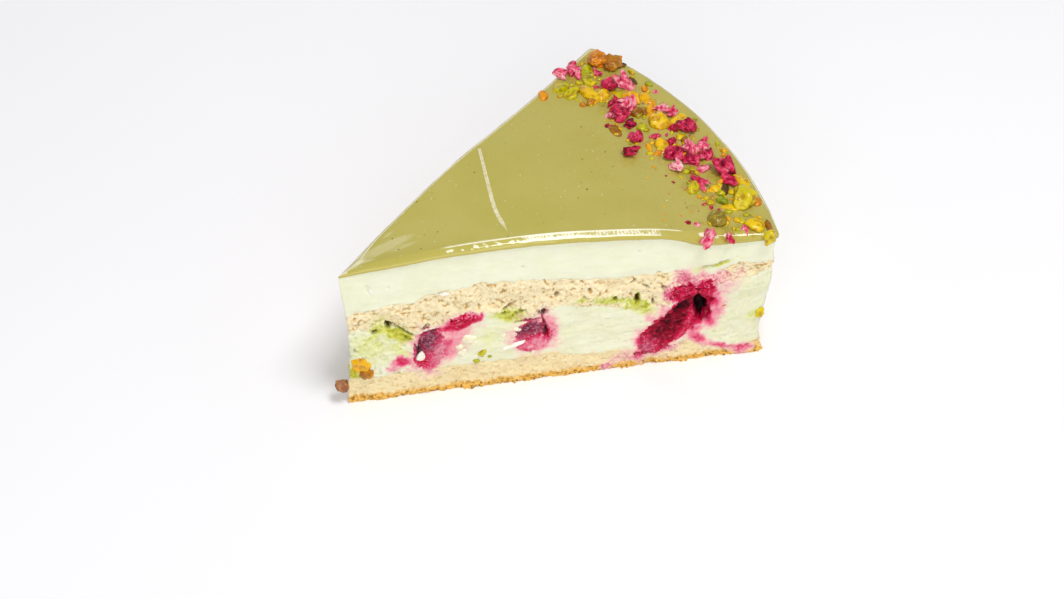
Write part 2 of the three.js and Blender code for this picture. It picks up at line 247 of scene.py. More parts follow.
@dataclass(frozen=True)
class SliceForm:
    """The wedge: its outline at each height, its layer boundaries and the top of its glaze."""

    radius: float = 120.0
    angle: float = math.radians(45.3)
    centre: Triple = (60.2, 41.9, 0.0)
    middle_radius: float = 76.0
    middle_height: float = 25.0
    corner_reach: float = 2.2
    corner_rounding: float = 0.7
    tip_mitre: float = 0.67
    tip_bulge: float = 0.22
    tip_setback: Profile = Profile(
        ((0, 0.6), (8, 0.9), (11, 2.2), (20, 2.7), (28, 2.3), (36, 1.6), (46, 0.7), (53, 0.5)))
    rim_bulge: Profile = Profile(
        ((0, -1.2), (3, -1.7), (9, -2.1), (18, -1.3), (26, -0.2), (33, 0.1), (35.5, 0.8), (39, 0)))
    wall_relief: Profile = Profile(
        ((0, 0.8), (3, 0.6), (9, 0.4), (14, 0.3), (24, 0.5), (30, 1.1), (36, 1.1), (41, 0.25)))
    base_top: Boundary = Boundary(
        Profile(((0, 10.4), (12, 9.6), (58, 9.6), (78, 7), (90, 6.3), (98, 8.4), (104, 5), (111, 3.4),
                 (120, 4.8))),
        Profile(((0, 9.6), (70, 9), (100, 7.2), (120, 5.6))), 0.5)
    sponge_bottom: Boundary = Boundary(
        Profile(((0, 28.6), (12, 29.2), (20, 25.4), (28, 25.8), (41, 29.4), (49, 24.7), (62, 28.8),
                 (86, 22.8), (102, 28.7), (120, 33.4))),
        Profile(((0, 28.4), (90, 27), (108, 29.4), (120, 31.8))), 0.9)
    sponge_top: Boundary = Boundary(
        Profile(((0, 35.2), (15, 37), (28, 39.6), (41, 41.2), (61, 39.6), (77, 37), (91, 37), (101, 33.6),
                 (110, 37.4), (120, 36))),
        Profile(((0, 35.6), (40, 40), (80, 38.4), (120, 36.6))), 0.9)
    cut_depth: float = 16.0
    back_mirror: float = 98.0
    back_strength: float = 0.6
    glaze_edge: Profile = Profile(
        ((0, 49.6), (12, 51.4), (30, 53.3), (52, 53.8), (70, 52.7), (86, 50.8), (92, 49.4), (98, 46.4),
         (106, 45.6), (120, 45.3)))
    glaze_front: Profile = Profile(
        ((0, 51.6), (10, 53.4), (22, 54.8), (40, 56), (58, 56), (72, 54.7), (86, 52.8), (98, 49.8),
         (108, 48.2), (120, 47.2)))
    glaze_back: Profile = Profile(
        ((0, 50.8), (15, 51.7), (45, 52.4), (60, 51.5), (75, 49.8), (90, 48.2), (105, 47.3), (120, 46.9)))
    glaze_thickness: float = 2.4
    glaze_edge_depth: float = 8.0
    noise_level: float = 9.0

    @property
    def middle(self) -> Points:
        """The x and y of a place in the middle of the slice."""
        return self.middle_radius * bearing(self.angle / 2)

    def depth_from_back(self, points: Points) -> Values:
        """Measures how far points lie from the back cut face, into the slice."""
        return points[..., 0] * math.sin(self.angle) - points[..., 1] * math.cos(self.angle)

    def boundary(self, boundary: Boundary, points: Points) -> Values:
        """Reads the height of a layer boundary.

        Args:
            boundary: The boundary.
            points: Where to read it; only x and y count.

        Returns:
            The heights.
        """
        radius, inside = from_axis(points), boundary.inside
        mirrored = np.clip(self.back_mirror - radius, 0, self.radius)
        front_share = peak(points[..., 1], 0, self.cut_depth)
        back_share = peak(self.depth_from_back(points), 0, self.cut_depth)
        front = boundary.cut.at(radius) - inside.at(radius)
        back = boundary.cut.at(mirrored) - inside.at(mirrored)
        front_rise = front * front_share * (1 - back_share / 2)
        back_rise = self.back_strength * back * back_share * (1 - front_share / 2)
        return inside.at(radius) + front_rise + back_rise

    def torn(self, boundary: Boundary, places: Points) -> Values:
        """Reads the height of a boundary that is torn a little unevenly.

        Args:
            boundary: The boundary.
            places: Where to read it.

        Returns:
            The heights.
        """
        x, y = places[..., 0].ravel(), places[..., 1].ravel()
        flat = np.column_stack([x, y, np.full(len(x), self.noise_level)])
        wander = bumps(flat, 2.6, 3, 7) + 0.4 * bumps(flat, 0.9, 2, 17)
        return self.boundary(boundary, places) + boundary.torn * wander.reshape(places.shape[:-1])

    def glaze_top(self, points: Points) -> Values:
        """Reads the height of the glaze's top at points."""
        radius = from_axis(points)
        turn = np.clip(np.arctan2(points[..., 1], points[..., 0]) / self.angle, 0, 1)
        return mix(self.glaze_front.at(radius), self.glaze_back.at(radius), turn)

    def glaze_underside(self, points: Points) -> Values:
        """Reads the height of the glaze's underside at points."""
        even = self.glaze_top(points) - self.glaze_thickness
        edge = self.glaze_edge.at(from_axis(points))
        return mix(edge, even, rise(points[..., 1], 0, self.glaze_edge_depth))

    def outline(self, columns: Columns, heights: Values,
                offset: float | Values = 0.0) -> tuple[Points, Points]:
        """Places columns on the outer wall.

        Args:
            columns: The columns.
            heights: Heights, one row for each level and one column for each of the columns.
            offset: How far the whole outline lies outside the wall, mitred at its corners.

        Returns:
            The x and y there, and each column's direction out of the slice.
        """
        share = columns.shares
        half = self.angle / 2
        setback = self.tip_setback.at(heights)
        rim = self.radius + self.rim_bulge.at(heights) + offset
        start = np.maximum(setback - self.tip_mitre * offset, 0.1 - offset / math.tan(half))
        aside = offset + 0 * start
        corner = np.arcsin(offset / rim)
        blunt = np.sin(np.pi * share) * self.tip_bulge * setback
        front = self.by_face(mix(start, rim, share), -aside, 1)
        back = self.by_face(mix(rim, start, share), -aside, -1)
        arc = rim[..., None] * bearing(mix(-corner, self.angle + corner, share))
        tip = mix(self.by_face(start, -aside, -1), self.by_face(start, -aside, 1), share[:, None])
        tip = tip - blunt[..., None] * bearing(half)
        return columns.pick(front, arc, back, tip), bearing(self.facing(columns))

    def by_face(self, along: Values, into: Values, hand: int) -> Points:
        """Places points by a cut face.

        Args:
            along: Distances from the tip.
            into: Depths behind the face.
            hand: 1 for the front cut face and -1 for the back one.

        Returns:
            The x and y.
        """
        turn = 0.0 if hand > 0 else self.angle
        inward = hand * np.array([-math.sin(turn), math.cos(turn)])
        along, into = np.broadcast_arrays(along, into)
        return along[..., None] * bearing(turn) + into[..., None] * inward

    def corner_nearness(self, columns: Columns) -> tuple[Values, Values]:
        """Says how near each column is to the corner before it and the corner after it, from 0 to 1."""
        length = columns.pick(self.radius, self.radius * self.angle, self.radius, 1.0)
        before = np.clip(1 - columns.shares * length / self.corner_reach, 0, 1)
        after = np.clip(1 - (1 - columns.shares) * length / self.corner_reach, 0, 1)
        return before, after

    def facing(self, columns: Columns) -> Values:
        """Gives the angle that each column faces, turning evenly round the corners."""
        before, after = self.corner_nearness(columns)
        square = math.pi / 4
        sharp = (math.pi - self.angle) / 4
        front = -math.pi / 2 - sharp * before + square * after
        rim = self.angle * columns.shares - square * before + square * after
        back = self.angle + math.pi / 2 - square * before + sharp * after
        tip = mix(self.angle + math.pi / 2 + sharp, 1.5 * math.pi - sharp, columns.shares)
        return columns.pick(front, rim, back, tip)

    def rounding(self, columns: Columns) -> Values:
        """Says how far each column draws in towards the slice beside the rim's two corners."""
        before, after = self.corner_nearness(columns)
        return self.corner_rounding * columns.pick(after, np.maximum(before, after), before, 0.0) ** 2

    def placed(self, points: Points) -> Points:
        """Moves points from the drawing frame to the row frame, in metres."""
        return (points - np.array(self.centre)) * MILLIMETRE


# What shows on the two cut faces


class Face(Enum):
    """The two cut faces."""

    FRONT = "front"
    BACK = "back"

    def view(self, form: SliceForm, points: Points) -> tuple[Values, Values, Values]:
        """Looks at points from this face.

        Args:
            form: The slice.
            points: Points in the drawing frame.

        Returns:
            Their distances from the tip along the face, their heights, and their depths behind it.
        """
        if self is Face.FRONT:
            return points[..., 0], points[..., 2], points[..., 1]
        along = points[..., 0] * math.cos(form.angle) + points[..., 1] * math.sin(form.angle)
        return along, points[..., 2], form.depth_from_back(points)


@dataclass(frozen=True)
class Spot(Oval):
    """A soft oval on a cut face, placed by its distance from the tip and its height."""

    soft: float = 0.35
    face: Face = Face.FRONT
    reach: float = 9.0

    def distance(self, form: SliceForm, points: Points) -> tuple[Values, Values]:
        """Says how far out points are, 1 on the oval's edge, and how deep behind the face."""
        along, height, depth = self.face.view(form, points)
        return self.out(along, height), depth

    def cover(self, form: SliceForm, points: Points, ragged: Values) -> Values:
        """Says how strongly the spot covers points.

        Args:
            form: The slice.
            points: The points.
            ragged: How far the spot's edge wanders at each, as a share of its size.

        Returns:
            Shares from 0 to the spot's strength.
        """
        out, depth = self.distance(form, points)
        fade = peak(np.maximum(depth, 0), 0, self.reach)
        return self.strength * fade * rise(out + ragged, 1 + self.soft, 1 - self.soft)

    def grown(self, margin: float, strength: float, soft: float) -> "Spot":
        """Makes a longer and wider spot in its place, of another strength and softness."""
        return replace(self, length=self.length + margin, width=self.width + margin, strength=strength,
                       soft=soft)


def spots(*rows: tuple[float, ...], face: Face = Face.FRONT) -> tuple[Spot, ...]:
    """Makes the spots of a face from rows of distance along it, height, length, width, lean and so on."""
    return tuple(Spot(*row, face=face) for row in rows)


def covered(form: SliceForm, marks: Sequence[Spot], points: Points, ragged: Values) -> Values:
    """Takes the strongest of several spots, or 0, at each point."""
    return np.max([np.zeros(len(points)), *(spot.cover(form, points, ragged) for spot in marks)], axis=0)


@dataclass(frozen=True)
class Fruit:
    """A raspberry opened by a cut: its node, its oval on the cut face, its juice and how deep it reaches.

    The juice is given inside it, around it and at its rim. The spots on it have no face of their own.
    """

    node: str
    oval: Spot
    core: float
    halo: float
    rim: float = 0.54
    darker: tuple[Spot, ...] = ()
    paler: tuple[Spot, ...] = ()
    filmed: tuple[Spot, ...] = ()
    hollows: tuple[Spot, ...] = ()
    depth: float = 7.5
    recess: float = 0.25


FRUITS = (
    Fruit("raspberry_left", Spot(23.8, 17.4, 14.6, 7.8, 80), 0.66, 0.38, 0.46,
          darker=spots((20.6, 18, 8, 1.8, 96, 0.3, 0.6), (23, 22.6, 9, 5, 60, 0.2, 0.7)),
          paler=spots((27, 16.4, 12, 5, 78, 0.32, 0.8)),
          filmed=spots((22.9, 21, 11, 7.6, 66, 0.95, 0.5), (26, 16, 8, 3, 80, 0.3, 0.8)),
          hollows=spots((20.7, 18, 8, 0.7, 84, 0.3, 0.6), (23.8, 24.6, 5, 0.7, 14, 0.26, 0.6))),
    Fruit("raspberry_middle", Spot(52.6, 18, 11.4, 9.6, 70), 0.62, 0.32, 0.44,
          darker=spots((55.8, 20.6, 8, 1.8, 104, 0.34, 0.6), (51, 22.4, 9, 4.6, 24, 0.26, 0.7)),
          paler=spots((54, 14.4, 10, 6, 10, 0.26, 0.8), (49, 16, 3, 5, 80, 0.16, 0.8)),
          filmed=spots((51.4, 21.6, 10.4, 6.6, 16, 0.95, 0.5)),
          hollows=spots((56.2, 20.8, 8, 0.6, 102, 0.3, 0.6), (51.4, 24.4, 6, 0.7, 4, 0.26, 0.6))),
    Fruit("raspberry_right", Spot(92.4, 15.4, 27, 10.4, 48), 0.82, 0.42, 0.72,
          darker=spots((91.4, 17, 20, 6, 48, 0.08, 0.7), (95.2, 22.8, 6, 3.4, 60, 0.14, 0.7)),
          paler=spots((83.6, 7, 9, 8, 40, 0.42, 0.8), (97.4, 19, 9, 2.4, 74, 0.2, 0.7),
                      (95, 10.4, 12, 3.4, 50, 0.24, 0.8)),
          filmed=spots((84.2, 7.4, 8, 5.6, 48, 0.55, 0.9)),
          hollows=spots((100.3, 20.6, 10, 3.4, 102, 1.0, 0.8), (95, 23.2, 5.4, 2.6, 60, 0.3, 0.7))),
    Fruit("raspberry_back_inner", Spot(36, 18.4, 14, 10, 62, face=Face.BACK), 0.7, 0.36, 0.52,
          darker=spots((34, 20, 8, 3, 62, 0.16, 0.7)), paler=spots((39, 16, 8, 4, 62, 0.22, 0.8)),
          filmed=spots((35, 22, 7, 5, 30, 0.6, 0.8))),
    Fruit("raspberry_back_middle", Spot(68, 17.6, 15, 10, 118, face=Face.BACK), 0.74, 0.4, 0.6,
          darker=spots((67, 19, 9, 4, 118, 0.14, 0.7)), paler=spots((71, 13, 7, 4, 100, 0.2, 0.8))),
    Fruit("raspberry_back_outer", Spot(98, 17, 17, 10, 70, face=Face.BACK), 0.74, 0.4, 0.6,
          darker=spots((98, 20, 9, 4, 70, 0.14, 0.7)), paler=spots((96, 11, 7, 5, 70, 0.2, 0.8))),
)

# Raspberry juice soaked into the layers: about 0.25 reads as pale pink, 0.6 as crimson, 1 as near black
JUICE = spots(
    (15.8, 14, 6, 4.6, 24, 0.6, 0.7), (13.6, 11.8, 4.4, 3, 0, 0.34, 0.9),
    (28.6, 17.8, 15, 9, 64, 0.38, 0.9), (27.8, 18, 12, 5.4, 70, 0.5, 0.7),
    (32.8, 26.8, 12.5, 4.6, 24, 0.76, 0.5), (31, 24, 14, 9, 30, 0.34, 0.9), (24.6, 9, 5, 5, 0, 0.26, 0.9),
    (57.2, 20.4, 15, 6, 98, 0.4, 0.9), (56.4, 17, 9, 4.6, 80, 0.48, 0.7), (47.4, 20.5, 5, 8, 90, 0.24, 0.9),
    (52, 12.4, 10, 3.4, 0, 0.2, 0.9), (97.6, 28, 15, 8.4, 8, 0.8, 0.4), (99, 29, 19, 12, 12, 0.4, 0.8),
    (99.6, 24.4, 10, 9, 30, 0.74, 0.5), (94.6, 33.4, 8, 6.4, 80, 0.46, 0.8), (104, 19, 12, 6, 80, 0.4, 0.9),
    (98, 13.6, 9, 8, 30, 0.44, 0.8), (92, 28, 7, 6, 50, 0.62, 0.7), (106.4, 29.4, 14, 7.4, 34, 0.25, 0.9),
    (103.4, 24, 5, 10, 10, 0.54, 0.9), (101, 17.4, 6, 5, 90, 0.76, 0.7),
    (101.6, 20.4, 8, 3.2, 102, 0.9, 0.5), (102.2, 16.8, 8, 4.4, 102, 0.58, 0.8),
    (100.6, 15, 9, 8, 50, 0.34, 0.9), (84.4, 6.4, 9, 5, 48, 0.5, 0.8), (78, 4.8, 13, 5, 32, 0.24, 0.9),
    (74, 1.8, 4.4, 3, 20, 0.42, 0.8), (99.4, 9.4, 12, 4.2, -50, 0.5, 0.9),
    (106.4, 4.6, 12, 2.4, -16, 0.5, 0.8), (112.4, 2.4, 6, 3.4, -5, 0.56, 0.9),
) + spots(
    (42, 27.5, 13, 5, 20, 0.7, 0.6), (39.4, 25.2, 9, 6, 40, 0.5, 0.8), (65.4, 24.8, 9, 6, 100, 0.5, 0.8),
    (99.6, 24.8, 10, 8, 60, 0.56, 0.8), (31, 10.5, 8, 4, 0, 0.3, 0.9), (66, 27, 9, 5, -15, 0.72, 0.6),
    (74, 10.6, 12, 4, 25, 0.36, 0.9), (101, 27.5, 14, 7, 15, 0.76, 0.5), (92, 7.6, 10, 4.6, 30, 0.44, 0.9),
    face=Face.BACK)

# Moist green of the pistachio cream where it meets the sponge
MOSS = spots(
    (16.4, 24.6, 11, 5, -42, 0.76, 0.8), (17.6, 24, 7, 1.6, -42, 0.95, 0.7), (10.4, 28, 8, 4, 10, 0.6, 0.8),
    (10.4, 32, 7, 4, 20, 0.34, 0.9), (7.5, 20.6, 15, 12, 0, 0.34, 0.9), (16.4, 17.4, 8, 3, -30, 0.4, 0.9),
    (8, 25.4, 6, 1.6, 20, 0.5, 0.8), (14, 20, 9, 4, -40, 0.36, 0.9), (46.4, 27.2, 9.6, 4.6, -24, 0.74, 0.8),
    (41, 20, 9, 9, 60, 0.26, 0.9), (75, 28, 19, 3.2, -12, 0.6, 0.8), (82.6, 25, 10, 5, -34, 0.62, 0.8),
    (82, 27.6, 1.6, 7, 4, 0.8, 0.7), (79, 26.6, 1.2, 6, 0, 0.7, 0.7), (84.4, 24.6, 1.4, 5, 8, 0.84, 0.7),
    (74.8, 28.6, 1.6, 3.4, 0, 0.8, 0.7), (105.2, 37.6, 9.6, 0.6, 20, 0.7, 0.8),
    (99.6, 36, 8, 3, -4, 0.36, 0.8), (113, 26, 15, 5, 80, 0.1, 0.9), (116, 16, 4, 5, 90, 0.4, 0.9),
    (2.8, 12.2, 6, 5, 0, 0.7, 0.8), (6, 50.6, 12, 1.6, 8, 0.2, 0.9),
) + spots(
    (20, 25.5, 12, 4, 20, 0.8, 0.8), (55, 26, 15, 4, -12, 0.8, 0.8), (86, 27, 10, 4, -10, 0.75, 0.8),
    (110, 22, 12, 9, 20, 0.34, 0.9),
    face=Face.BACK)

# Holes and cracks that go deep into the cut faces
HOLES = spots(
    (13, 29.2, 2.4, 2, 0, 2.6, 0.4), (16.8, 26.6, 8, 0.6, -42, 1.6, 0.6),
    (55.4, 27, 2.4, 2.4, 40, 2.6, 0.4), (56.8, 20.4, 6, 0.6, 104, 0.9, 0.5),
    (20, 17.4, 6, 0.9, 96, 1.3, 0.5), (82, 27.7, 1.5, 3.6, 0, 1.8, 0.5), (86.4, 25.6, 1, 2.4, 10, 1.2, 0.5),
    (84, 32.4, 2.6, 0.8, -40, 1.2, 0.5), (75.6, 29, 1.2, 1.6, 0, 1.4, 0.5),
    (68.4, 33.8, 1.2, 1.2, 0, 1.2, 0.5), (80.4, 34.4, 2.2, 1.1, 30, 1.2, 0.5),
    (89, 31.4, 1.6, 1.2, 0, 1.2, 0.5), (46.4, 31.4, 5, 0.9, 34, 1.2, 0.5),
    (44.6, 28.4, 1.4, 1, 0, 1.2, 0.5), (49.6, 28, 1.6, 0.9, 20, 1.2, 0.5),
    (59.4, 33, 1.4, 1.8, 0, 1.0, 0.5), (22.6, 25.8, 2.4, 1, 30, 1.4, 0.5), (9, 27, 2, 1.4, 30, 1.2, 0.5),
    (103.8, 37.7, 8.5, 0.8, 20, 0.8, 0.5), (7.8, 44, 1.2, 3, 12, 0.45, 0.7),
    (101.6, 21, 6, 1.8, 102, 1.2, 0.5), (3.2, 20.6, 2, 1, -40, 1.4, 0.5),
) + spots(
    (24, 30, 3, 2, 20, 2.2, 0.5), (60, 29, 2.4, 1.6, 0, 2.0, 0.5), (58, 26.5, 9, 1, 30, 1.4, 0.5),
    (88, 30.5, 2, 2.6, 0, 2.0, 0.5),
    face=Face.BACK)


@dataclass(frozen=True)
class CutFaces:
    """Everything that marks the two cut faces: soaked juice, moist green, holes and beds of the fruit."""

    form: SliceForm
    bed_depth: float = 4.4
    halo_growth: float = 4.2
    rim_growth: float = 1.4
    blotches: float = 0.2

    def ragged(self, points: Points, size: float, strength: float) -> Values:
        """Makes the wandering of spot edges: bumps of a size, with finer ones on them."""
        return strength * bumps(points, size, 4, 5)

    def juice(self, points: Points) -> Values:
        """Says how much juice has soaked in at points, from 0 to 1."""
        ragged = self.ragged(points, 3.0, 0.42)
        made = covered(self.form, JUICE, points, ragged)
        for fruit in FRUITS:
            halo = fruit.oval.grown(self.halo_growth, fruit.halo, 0.7)
            rim = fruit.oval.grown(self.rim_growth, fruit.rim, 0.4)
            made = np.maximum(made, halo.cover(self.form, points, ragged))
            made = np.maximum(made, rim.cover(self.form, points, 0.8 * ragged))
        return made

    def moss(self, points: Points) -> Values:
        """Says how green and moist the cream is at points, from 0 to 1."""
        made = covered(self.form, MOSS, points, self.ragged(points, 2.2, 0.6))
        blotches = rise(bumps(points * DRAWN_UP, 2.2, 4, 9), 0.0, 0.6)
        blotches *= rise(points[:, 2], 34, 30) * rise(points[:, 2], 10, 22)
        return np.maximum(made, self.blotches * blotches * self.ends(points))

    def ends(self, points: Points) -> Values:
        """Says how near points are to the tip or the rim's corners, where the layers are torn more wildly."""
        radius = from_axis(points)
        inside = np.minimum(points[:, 1], self.form.depth_from_back(points))
        return np.maximum(rise(radius, 24, 14), rise(radius, 102, 108) * mix(0.15, 0.6, rise(inside, 9, 2)))

    def holes(self, points: Points) -> Values:
        """Says how deep holes and cracks are at points."""
        return covered(self.form, HOLES, points, self.ragged(points, 1.4, 0.6))

    def beds(self, points: Points) -> Values:
        """Says how far the walls draw in under the opened raspberries."""
        made = np.zeros(len(points))
        ragged = self.ragged(points, 4.2, 0.38) + self.ragged(points, 1.8, 0.18)
        for fruit in FRUITS:
            out, depth = fruit.oval.distance(self.form, points)
            bed = self.bed_depth * (depth < fruit.depth)
            made = np.maximum(made, bed * rise(out + ragged, 1.0, 0.86))
            for hollow in fruit.hollows:
                made = np.maximum(made, bed * rise(hollow.distance(self.form, points)[0], 1.3, 1.05))
        return made


# Meshes


@dataclass
class Draft:
    """Points, faces and named values of a mesh that is being drawn."""

    points: Points
    faces: list[Values]
    fields: dict[str, Values] = field(default_factory=dict)

    @classmethod
    def joined(cls, drafts: "Sequence[Draft]") -> "Draft":
        """Puts several drafts into one.

        Args:
            drafts: Drafts with the same named values.

        Returns:
            One draft that holds them all.
        """
        starts = np.cumsum([0, *[len(draft.points) for draft in drafts[:-1]]])
        faces = [part + start for draft, start in zip(drafts, starts) for part in draft.faces]
        fields = {name: np.concatenate([draft.fields[name] for draft in drafts]) for name in drafts[0].fields}
        return cls(np.concatenate([draft.points for draft in drafts]), faces, fields)


def linked(name: str, data: bpy.types.ID) -> bpy.types.Object:
    """Makes an object and puts it into the scene.

    Args:
        name: Its name.
        data: Its mesh, light or camera.

    Returns:
        The object.
    """
    made = bpy.data.objects.new(name, data)
    bpy.context.scene.collection.objects.link(made)
    return made


def placed_piece(form: SliceForm, name: str, draft: Draft, material: bpy.types.Material,
                 node: str) -> bpy.types.Object:
    """Makes a piece of a draft and lets it ride on the frame.

    Args:
        form: The slice, which gives the place of its frame.
        name: The piece's name.
        draft: Its mesh, in millimetres in the drawing frame.
        material: Its material.
        node: The node that it stands for, or helps to.

    Returns:
        The piece.
    """
    mesh = bpy.data.meshes.new(name)
    corners = np.concatenate([part.ravel() for part in draft.faces])
    counts = np.concatenate([np.full(len(part), part.shape[1]) for part in draft.faces])
    starts = np.concatenate([[0], np.cumsum(counts)[:-1]])
    mesh.vertices.add(len(draft.points))
    mesh.vertices.foreach_set("co", form.placed(draft.points).ravel())
    mesh.loops.add(len(corners))
    mesh.loops.foreach_set("vertex_index", corners.astype(np.int32))
    mesh.polygons.add(len(counts))
    mesh.polygons.foreach_set("loop_start", starts.astype(np.int32))
    mesh.update(calc_edges=True)
    mesh.validate()
    mesh.shade_smooth()
    for label, values in draft.fields.items():
        mesh.attributes.new(label, "FLOAT", "POINT").data.foreach_set("value", values.astype(np.float32))
    mesh.materials.append(material)
    piece = linked(name, mesh)
    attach(piece, "root")
    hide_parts(node)
    LOG.info("%s: %d points, %d faces", name, len(draft.points), len(counts))
    return piece


def tube_faces(rows: int, columns: int) -> list[Values]:
    """Joins rings of points into a closed shell, with a point at each end.

    Args:
        rows: Rings, numbered from the first end to the last.
        columns: Points in a ring, anticlockwise seen from the last end.

    Returns:
        Faces whose corners count the rings first, then the first end's point and the last end's.
    """
    grid = np.arange(rows * columns).reshape(rows, columns)
    ahead = np.roll(grid, -1, axis=1)
    quads = np.stack([grid[:-1], ahead[:-1], ahead[1:], grid[1:]], axis=-1).reshape(-1, 4)
    first, last = np.full(columns, rows * columns), np.full(columns, rows * columns + 1)
    lids = [np.stack([ahead[0], grid[0], first], axis=1), np.stack([grid[-1], ahead[-1], last], axis=1)]
    return [quads, np.concatenate(lids)]


@cache
def ball(detail: int) -> tuple[Points, Values]:
    """Gives the points and faces of a ball of radius 1 made of triangles, at a detail."""
    shape = bmesh.new()
    bmesh.ops.create_icosphere(shape, subdivisions=detail, radius=1)
    points = np.array([vert.co[:] for vert in shape.verts])
    faces = np.array([[vert.index for vert in face.verts] for face in shape.faces])
    shape.free()
    return points, faces


# Shader nodes


Colour = tuple[float, float, float]
Socket = bpy.types.NodeSocket


def linear(colour: Colour) -> tuple[float, float, float, float]:
    """Turns a display colour of 0 to 255 into the light that a shader takes."""
    shares = [part / 255 for part in colour]
    light = [share / 12.92 if share <= 0.04045 else ((share + 0.055) / 1.055) ** 2.4 for share in shares]
    return (*light, 1.0)


@dataclass
class Sheet:
    """A node tree with short calls to add its nodes and join them.

    Where a call takes a value, it takes a socket of another node too.
    """

    tree: bpy.types.NodeTree

    def add(self, kind: str, settings: dict[str, object] | None = None,
            **inputs: object) -> bpy.types.Node:
        """Adds a node.

        Args:
            kind: Its type, without the leading ShaderNode.
            settings: Properties of the node.
            **inputs: Its inputs, named as in feed.

        Returns:
            The node.
        """
        node = self.tree.nodes.new("ShaderNode" + kind)
        for key, value in (settings or {}).items():
            setattr(node, key, value)
        self.feed(node, **inputs)
        return node

    def feed(self, node: bpy.types.Node, **inputs: object) -> None:
        """Sets inputs of a node.

        Args:
            node: The node.
            **inputs: Values or sockets. An underscore in a name stands for a space, and a name like in0
                for the input of that number.
        """
        for key, value in inputs.items():
            numbered = key.startswith("in") and key[2:].isdigit()
            socket = node.inputs[int(key[2:]) if numbered else key.replace("_", " ")]
            if isinstance(value, Socket):
                self.tree.links.new(value, socket)
            else:
                socket.default_value = value

    def maths(self, operation: str, first: object, second: object, clamp: bool = False) -> Socket:
        """Adds a sum of two values, kept from 0 to 1 if it is clamped."""
        settings = {"operation": operation, "use_clamp": clamp}
        return self.add("Math", settings, in0=first, in1=second).outputs[0]

    def times(self, first: object, second: object, clamp: bool = False) -> Socket:
        """Multiplies two values."""
        return self.maths("MULTIPLY", first, second, clamp)

    def plus(self, first: object, second: object, clamp: bool = False) -> Socket:
        """Adds two values."""
        return self.maths("ADD", first, second, clamp)

    def less(self, first: object, second: object) -> Socket:
        """Takes the second value from the first."""
        return self.maths("SUBTRACT", first, second)

    def most(self, first: object, second: object) -> Socket:
        """Takes the larger of two values."""
        return self.maths("MAXIMUM", first, second)

    def blend(self, share: object, first: object, second: object, kind: str = "MIX") -> Socket:
        """Mixes two display colours or sockets, with a share of the second."""
        ends = [linear(end) if isinstance(end, tuple) else end for end in (first, second)]
        return self.add("Mix", {"data_type": "RGBA", "blend_type": kind, "clamp_factor": True},
                        in0=share, in6=ends[0], in7=ends[1]).outputs[2]

    def between(self, value: object, low: float, high: float) -> Socket:
        """Rises smoothly from 0 at low to 1 at high."""
        settings = {"interpolation_type": "SMOOTHSTEP"}
        return self.add("MapRange", settings, Value=value, From_Min=low, From_Max=high).outputs[0]

    def ramp(self, value: object, stops: Sequence[tuple[float, Colour]]) -> Socket:
        """Adds a colour ramp.

        Args:
            value: Where to read it.
            stops: Places and display colours.

        Returns:
            The colour's socket.
        """
        node = self.add("ValToRGB", Fac=value)
        elements = node.color_ramp.elements
        while len(elements) < len(stops):
            elements.new(0.5)
        for element, (place, colour) in zip(elements, stops):
            element.position, element.color = place, linear(colour)
        return node.outputs["Color"]

    def read(self, name: str) -> Socket:
        """Reads one of the mesh's named values."""
        return self.add("Attribute", {"attribute_name": name}).outputs["Fac"]

    @cached_property
    def place(self) -> Socket:
        """The coordinates of the row frame."""
        return self.add("TexCoord").outputs["Object"]

    def clouds(self, size: float, detail: float = 3.0, roughness: float = 0.55,
               place: Socket | None = None) -> Socket:
        """Adds soft noise whose lumps are about a size apart, in millimetres."""
        return self.add("TexNoise", Vector=place or self.place, Scale=1 / MILLIMETRE / size, Detail=detail,
                        Roughness=roughness).outputs[0]

    def mapped(self, **inputs: Colour) -> Socket:
        """Moves or stretches the coordinates."""
        return self.add("Mapping", Vector=self.place, **inputs).outputs[0]


def new_group(name: str, inputs: dict[str, str],
              outputs: dict[str, str]) -> tuple[Sheet, object, bpy.types.Node]:
    """Starts a node group.

    Args:
        name: Its name.
        inputs: Names of its inputs and the kinds of their sockets.
        outputs: The same for its outputs.

    Returns:
        Its sheet, its inputs as sockets to read, and the node that its outputs are fed to.
    """
    tree = bpy.data.node_groups.new(name, "ShaderNodeTree")
    for way, sockets in (("INPUT", inputs), ("OUTPUT", outputs)):
        for socket, kind in sockets.items():
            tree.interface.new_socket(socket, in_out=way, socket_type="NodeSocket" + kind)
    return Sheet(tree), tree.nodes.new("NodeGroupInput").outputs, tree.nodes.new("NodeGroupOutput")


